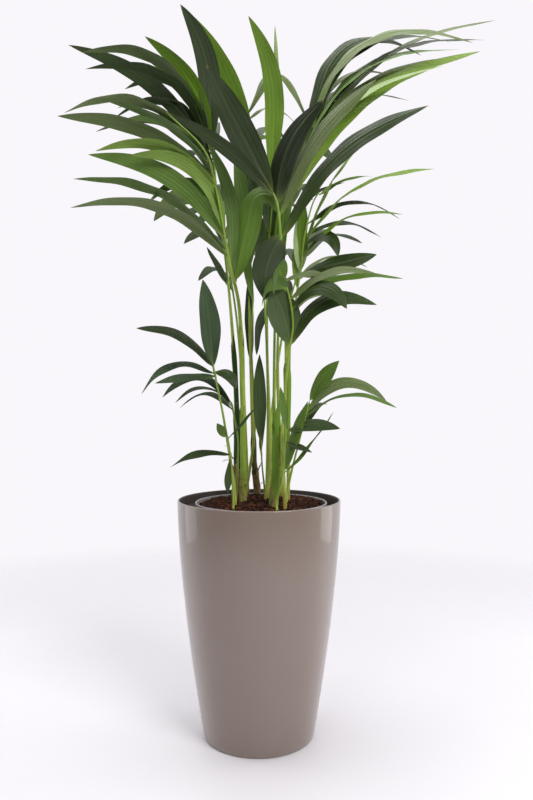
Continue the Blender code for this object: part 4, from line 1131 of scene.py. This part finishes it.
# %% Mound
POT_MIDDLE = np.array([0.004, 0.0])
SOIL_RADIUS = 0.1238
SOIL_EDGE = 0.446
SOIL_CROWN = 0.010
CROWN_RADIUS = 0.123
SOIL_BANK = 0.0034               # how much the soil rises from its middle to its highest edge
SOIL_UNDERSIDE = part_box("soil")[0][2]


def soil_height(across):
    """A mound: the crown's height times the square of a cosine, over the edge height."""
    share = np.clip(across / CROWN_RADIUS, 0.0, 1.0)
    return SOIL_EDGE + SOIL_CROWN * np.cos(share * np.pi / 2) ** 2


def rough(x, y, draw, count=24, fine=500.0):
    """Waves in many directions, summed: an uneven surface between about -1 and 1."""
    turn, phase = draw.uniform(0, 2 * np.pi, (2, count))
    pitch = draw.uniform(0.15, 1.0, count) * fine
    total = sum(np.sin((x * np.cos(a) + y * np.sin(a)) * k + p) for a, k, p in zip(turn, pitch, phase))
    return total / np.sqrt(count)


def banked(x, y):
    """Height of the soil at a place: the mound, banked up towards the back and the right."""
    bank = SOIL_BANK * (1 + (0.35 * x + 0.94 * y) / SOIL_RADIUS)
    return soil_height(np.hypot(x, y)) + bank


def add_mound(surface):
    """Rings of growing radius over the top, then down the inside of the pot and across its floor."""
    draw = np.random.default_rng(7)
    across = np.linspace(0.0005, SOIL_RADIUS, 90)[:, None]
    angle = full_turn(220)[None, :]
    x, y = across * np.cos(angle), across * np.sin(angle)
    height = banked(x, y) + 0.0013 * rough(x, y, draw) + 0.0010 * rough(x, y, draw, fine=1500.0)
    height -= 0.004 * np.clip(across / SOIL_RADIUS - 0.97, 0, 1) / 0.03
    grid = np.stack([x + POT_MIDDLE[0], y + POT_MIDDLE[1], height], axis=2)
    bottom = SOIL_UNDERSIDE + 0.0008
    below = [(0.1190, 0.440), (0.0905, bottom), (0.0005, bottom)]
    rings = [stacked(r * np.cos(angle) + POT_MIDDLE[0], r * np.sin(angle), z) for r, z in below]
    surface.add(np.concatenate([grid] + rings), 0.0, 0.0, 0.75)


# %% Crumbs and threads
CRUMBS = 1500
THREADS = 1100


def scattered(draw, count):
    """Places on the mound, even in area."""
    across = SOIL_RADIUS * 0.985 * np.sqrt(draw.uniform(0, 1, count))
    turn = draw.uniform(0, 2 * np.pi, count)
    x, y = across * np.cos(turn), across * np.sin(turn)
    return np.stack([x + POT_MIDDLE[0], y + POT_MIDDLE[1], banked(x, y)], axis=1)


def add_crumbs(surface, count):
    """Each crumb is three rings of five points round a random axis, its corners pushed in and out."""
    draw = np.random.default_rng(11)
    middle = scattered(draw, count)
    size = draw.uniform(0.0012, 0.0036, count) * draw.uniform(0.6, 1.0, count)
    angle = full_turn(5)
    for place, reach in zip(middle, size):
        along = unit(draw.normal(size=3))
        side = unit(np.cross(along, draw.normal(size=3)))
        other = np.cross(along, side)
        long = draw.uniform(0.6, 1.8)
        steps = np.array([-1.0, 0.0, 1.0])[:, None] * long
        fat = np.array([0.45, 1.0, 0.5])[:, None] * draw.uniform(0.6, 1.1, (3, 5))
        local = (steps[..., None] * along + fat[..., None]
                 * (np.cos(angle)[None, :, None] * side + np.sin(angle)[None, :, None] * other))
        shade = draw.uniform(0.55, 1.9)
        tone = (shade, shade * 0.92, shade * 0.85)
        surface.add(place + reach * local + (0, 0, 0.0006), 0.0, 0.0, tone)


def add_threads(surface, count):
    """Each thread is a three-sided tube on a short curled path: a line bent by a sine both ways."""
    draw = np.random.default_rng(13)
    t = np.linspace(0.0, 1.0, 6)[:, None]
    angle = full_turn(3)
    for place in scattered(draw, count):
        turn, length = draw.uniform(0, 2 * np.pi), draw.uniform(0.006, 0.020)
        ahead = np.array([np.cos(turn), np.sin(turn), draw.uniform(-0.1, 0.35)])
        aside = np.array([-np.sin(turn), np.cos(turn), 0.0])
        curl = draw.uniform(-0.3, 0.3) * length
        path = place + (0, 0, 0.0012) + ahead * length * (t - 0.5) + aside * curl * np.sin(3 * t)
        path[:, 2] += 0.0016 * np.sin(np.pi * t[:, 0])
        shade = draw.uniform(0.8, 2.4)
        grid = rings_along(path, draw.uniform(0.00018, 0.00036), angle, (0.0, 0.0, 1.0))
        surface.add(grid, 0.0, 0.0, (shade, shade * 0.85, shade * 0.7))


ground = Surface()
add_mound(ground)
add_crumbs(ground, CRUMBS)
add_threads(ground, THREADS)
coir = ground.piece("coir_soil", [coir_skin()])
stands_for(coir, "soil")

# %% [markdown]
# ## The planter and the nursery pot
#
# Both pots are turned shapes: one outline carried round a vertical axis. The planter's side swells
# fast above its narrow foot and then runs almost straight to a thin, rounded rim. A Screw modifier
# would do it, but the ring grids above already close a surface and turn it outwards. The lacquer is
# a clear coat over a warm grey-brown base, with only a faint orange-peel ripple. Just inside the rim
# the planter is bare, and its colour there is darkened as painted shade of the planter's inside, so
# the finish works out which side of the wall a point is on.

# %% Turned shapes


def turned(name, outline, middle, finish, sides=224):
    """Each point of the outline becomes a ring: radius times cosine and sine round the axis."""
    outline = np.array(outline)
    angle = full_turn(sides)[None, :]
    radius, height = outline[:, :1], outline[:, 1:]
    grid = stacked(radius * np.cos(angle) + middle, radius * np.sin(angle), height)
    surface = Surface()
    surface.add(grid, 0.0, 0.0, 0.5)
    return surface.piece(name, [finish], sharp=40)


def rounded(radius, height, reach, start, stop, count=9):
    """Points on an arc round (radius, height), from one angle to another in degrees."""
    turn = np.radians(np.linspace(start, stop, count))
    return list(zip(radius + reach * np.cos(turn), height + reach * np.sin(turn)))


# %% Planter outline
PLANTER_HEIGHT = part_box("planter")[1][2]
RIM_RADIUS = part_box("planter")[1][0]
FOOT_RADIUS = 0.108
PLANTER_SWELL = 1.55
PLANTER_WALL = 0.0045
PLANTER_FLOOR = 0.010


def planter_radius(height):
    """Foot radius plus a share of the widening: 1 - (1 - height share) to the power of the swell."""
    share = 1.0 - np.maximum(1.0 - height / PLANTER_HEIGHT, 0.0) ** PLANTER_SWELL
    return FOOT_RADIUS + (RIM_RADIUS - FOOT_RADIUS) * share


# %% Lacquer


def lacquer(name, low, high):
    """Lighter towards the rim, dusty at the foot, and uncoated just inside the rim, where its colour
    is darkened as painted shade of the planter's inside: a point there is nearer to the axis than a
    straight cone from foot to rim, less half the wall. Lower down the side swells past that cone,
    and the nursery pot hides the inside."""
    finish = Finish(name, coat_roughness=0.03, coat_ior=1.5, specular_ior_level=0.5)
    place = finish.object_place()
    x, y, z = place.parts()
    height = z / PLANTER_HEIGHT
    drift = finish.noise(place, 5.0)
    peel = finish.noise(place, 260.0, 2.0)
    dust = finish.noise(place, 1400.0, 2.0)
    foot = (1.0 - height * 30.0).clamped()
    colour = finish.mix((height * 0.7 + drift * 0.5 - 0.15).clamped(), low, high)
    colour = finish.mix(((dust - 0.66) * 8.0).clamped() * 0.10 + foot * 0.12, colour, srgb(190, 180, 172))
    wall = RIM_RADIUS - (1.0 - height) * (RIM_RADIUS - FOOT_RADIUS) - (x * x + y * y) ** 0.5
    bare_inside_and_painted_shade = ((wall - 0.5 * PLANTER_WALL) * 1500.0).clamped()
    # Inside the rim the colour goes to a dark brown-grey: painted shade of the planter's inside.
    colour = finish.mix(bare_inside_and_painted_shade * 0.9, colour, srgb(58, 50, 46))
    finish.set(base_color=colour, roughness=drift * 0.12 + 0.34 + bare_inside_and_painted_shade * 0.2,
               coat_weight=0.92 - foot * 0.3 - bare_inside_and_painted_shade * 0.75)
    finish.raised(peel, 0.000035)
    return finish.material


# %% Planter
FOOT_BEND = 0.0042
FLOOR_BEND = 0.007
AXIS = 0.0004                    # the smallest ring, next to the axis
heights = np.linspace(0.006, PLANTER_HEIGHT - 0.0026, 60)
outside = [(AXIS, 0.0012), (FOOT_RADIUS - 0.014, 0.0012), (FOOT_RADIUS - 0.010, 0.0)]
outside += rounded(FOOT_RADIUS - FOOT_BEND, FOOT_BEND, FOOT_BEND, -90, -4)
outside += list(zip(planter_radius(heights), heights))
lip_bend = PLANTER_WALL / 2
rim = rounded(RIM_RADIUS - lip_bend, PLANTER_HEIGHT - lip_bend, lip_bend, 0, 180, 15)
inner = np.linspace(PLANTER_HEIGHT - 0.003, PLANTER_FLOOR + 0.008, 40)
inside = list(zip(planter_radius(inner) - PLANTER_WALL, inner))
floor_radius = planter_radius(PLANTER_FLOOR) - PLANTER_WALL
bottom = rounded(floor_radius - FLOOR_BEND, PLANTER_FLOOR + FLOOR_BEND, FLOOR_BEND, 0, -90)
bottom += [(AXIS, PLANTER_FLOOR)]
TAUPE = lacquer("taupe lacquer", srgb(129, 112, 102), srgb(141, 124, 112))
planter = turned("lacquered_planter", outside + rim + inside + bottom, 0.0, TAUPE)
stands_for(planter, "planter")

# %% Nursery pot


def pot_plastic():
    finish = Finish("grey pot plastic", specular_ior_level=0.5)
    place = finish.object_place()
    cloud = finish.noise(place, 60.0)
    scuffs = finish.streaked(place, (300.0, 300.0, 40.0))
    colour = finish.mix(cloud, srgb(150, 146, 152), srgb(176, 172, 178))
    colour = finish.mix((scuffs - 0.5).clamped() * 1.2, colour, srgb(96, 88, 84))
    finish.set(base_color=colour, roughness=cloud * 0.2 + 0.25)
    finish.raised(cloud, 0.0002)
    return finish.material


POT_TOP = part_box("nursery_pot")[1][2]
POT_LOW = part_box("nursery_pot")[0][2]
LIP_RADIUS = 0.129
BODY_RADIUS = 0.123
POT_FOOT = 0.094
POT_WALL = 0.002
POT_BEND = 0.003
ROLL = 0.0016                    # radius of the rolled lip's edge
lip = POT_TOP - 0.012
outline = [(AXIS, POT_LOW + 0.001), (POT_FOOT - 0.012, POT_LOW + 0.001), (POT_FOOT - 0.008, POT_LOW)]
outline += rounded(POT_FOOT - POT_BEND, POT_LOW + POT_BEND, POT_BEND, -90, 0, 6)
outline += [(BODY_RADIUS - 0.0012, lip - 0.006)]
outline += rounded(BODY_RADIUS + 0.0025, lip - POT_BEND, POT_BEND, 180, 90, 6)
outline += [(LIP_RADIUS - 0.0008, lip)] + rounded(LIP_RADIUS - 0.0010, POT_TOP - ROLL, ROLL, 0, 180, 11)
outline += [(LIP_RADIUS - 0.0030, lip + 0.004), (BODY_RADIUS - POT_WALL, lip - 0.004)]
outline += [(POT_FOOT - POT_WALL, POT_LOW + 0.003), (AXIS, POT_LOW + 0.003)]
nursery = turned("grey_nursery_pot", outline, POT_MIDDLE[0], pot_plastic(), 160)
stands_for(nursery, "nursery_pot")

# %% [markdown]
# ## The riser
#
# Under the nursery pot an upturned pot of recycled black plastic lifts the plant to the rim. Its
# solid is already right, so it stays as it is and only gets a finish: matt, cloudy and a little
# scuffed, as recycled plastic is.

# %% Riser finish
scuffed = Finish("recycled black plastic", specular_ior_level=0.4)
place = scuffed.object_place()
cloud = scuffed.noise(place, 45.0)
scuff = scuffed.streaked(place, (30.0, 30.0, 400.0))
base = scuffed.mix(cloud, srgb(30, 30, 31), srgb(52, 51, 50))
base = scuffed.mix((scuff - 0.55).clamped() * 1.5, base, srgb(110, 106, 100))
scuffed.set(base_color=base, roughness=cloud * 0.3 + 0.4)
scuffed.raised(scuff, 0.0003)
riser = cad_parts["riser"]
riser.data.materials.clear()
riser.data.materials.append(scuffed.material)
print("riser finish:", scuffed.material.name)

# %% [markdown]
# ## Floor and light
#
# The plant stands on a white satin floor in a white room. The floor fades out towards its rim, so no
# edge shows. Two tall soft boxes at its sides, a little behind it, draw the bright upright bands near
# the edges of the lacquer. One in front on the right and a large one overhead shape the leaves, and a
# weak one in front on the left opens the shadows. The world is bright where the room is white, behind
# the plant, and dim behind the camera, so that the front of the planter keeps its own colour.

# %% Floor
FLOOR_RADIUS = 1.9
FLOOR_SIDES = 96
FLOOR_DROP = 0.0002              # just under the planter's foot, so that the two never meet


def floor_disc():
    """A flat ring of points round the origin, one face, seen less and less towards its rim."""
    finish = Finish("white floor", specular_ior_level=0.4)
    place = finish.object_place()
    cloud = finish.noise(place, 3.0)
    x, y, _ = place.parts()
    reach = (x * x + y * y) ** 0.5
    finish.set(base_color=finish.mix(cloud, srgb(246, 243, 247), srgb(251, 249, 252)),
               roughness=cloud * 0.1 + 0.42, alpha=(FLOOR_RADIUS - reach).clamped())
    turn = full_turn(FLOOR_SIDES)
    x, y = FLOOR_RADIUS * np.cos(turn), FLOOR_RADIUS * np.sin(turn)
    points = np.stack([x, y, np.full(FLOOR_SIDES, -FLOOR_DROP)], axis=1)
    mesh = bpy.data.meshes.new("floor")
    mesh.from_pydata(points.tolist(), [], [list(range(FLOOR_SIDES))])
    mesh.materials.append(finish.material)
    disc = bpy.data.objects.new("floor", mesh)
    bpy.context.scene.collection.objects.link(disc)
    print("floor:", FLOOR_RADIUS * 2, "m across")


floor_disc()

# %% Lights


def soft_box(name, place, aim, width, height, power):
    """A rectangle of even light that faces a point, its power in watts."""
    lamp = bpy.data.lights.new(name, "AREA")
    lamp.shape = "RECTANGLE"
    lamp.size = width
    lamp.size_y = height
    lamp.energy = power
    light = bpy.data.objects.new(name, lamp)
    light.location = place
    direction = Vector(aim) - Vector(place)
    light.rotation_euler = direction.to_track_quat("-Z", "Y").to_euler()
    bpy.context.scene.collection.objects.link(light)


soft_box("left box", (-1.75, 0.5, 0.8), (0.0, 0.0, 0.6), 0.9, 1.8, 4.5)
soft_box("right box", (1.75, 0.5, 0.8), (0.0, 0.0, 0.6), 0.9, 1.8, 7.0)
soft_box("front right box", (1.3, -1.9, 1.9), (0.0, 0.0, 0.8), 1.2, 0.9, 38.0)
soft_box("front left box", (-0.9, -2.2, 1.9), (0.0, 0.0, 0.7), 0.9, 0.9, 7.0)
soft_box("top box", (-0.3, 0.1, 3.0), (0.0, 0.0, 0.5), 2.2, 2.2, 38.0)

print("lights:", [lamp.name for lamp in bpy.data.lights])

# %% World
ROOM_FRONT = (0.10, 0.10, 0.11)
ROOM_BACK = (0.80, 0.79, 0.83)
ROOM_SEEN = (0.95, 0.93, 0.965)  # what the camera sees behind the plant
world = bpy.context.scene.world or bpy.data.worlds.new("room")
bpy.context.scene.world = world
world.use_nodes = True
room = Tree(world.node_tree)
behind = room.node("ShaderNodeTexCoord", {}, {}, "Generated").parts()[1]
walls = room.mix((behind * 0.9 + 0.45).clamped(), ROOM_FRONT, ROOM_BACK)
seen = room.node("ShaderNodeLightPath", {}, {}, "Is Camera Ray")
room.plug(room.mix(seen, walls, ROOM_SEEN), room.nodes.nodes["Background"].inputs["Color"])

# %% [markdown]
# ## Camera
#
# The camera stands at the height of the lowest arching fronds and looks straight ahead, so that the
# planter's upright sides keep their shape and its mouth and its foot are both seen a little from
# above.

# %% Camera
CAMERA_PLACE = (0.0147, -1.405, 0.655)
camera = bpy.data.cameras.new("camera")
camera.lens = 32.04
eye = bpy.data.objects.new("camera", camera)
eye.location = CAMERA_PLACE
eye.rotation_euler = (np.pi / 2, 0.0, 0.0)
bpy.context.scene.collection.objects.link(eye)
bpy.context.scene.camera = eye
bpy.context.scene.view_settings.view_transform = "Standard"
print("camera at", CAMERA_PLACE, "with a lens of", round(camera.lens, 2), "mm")
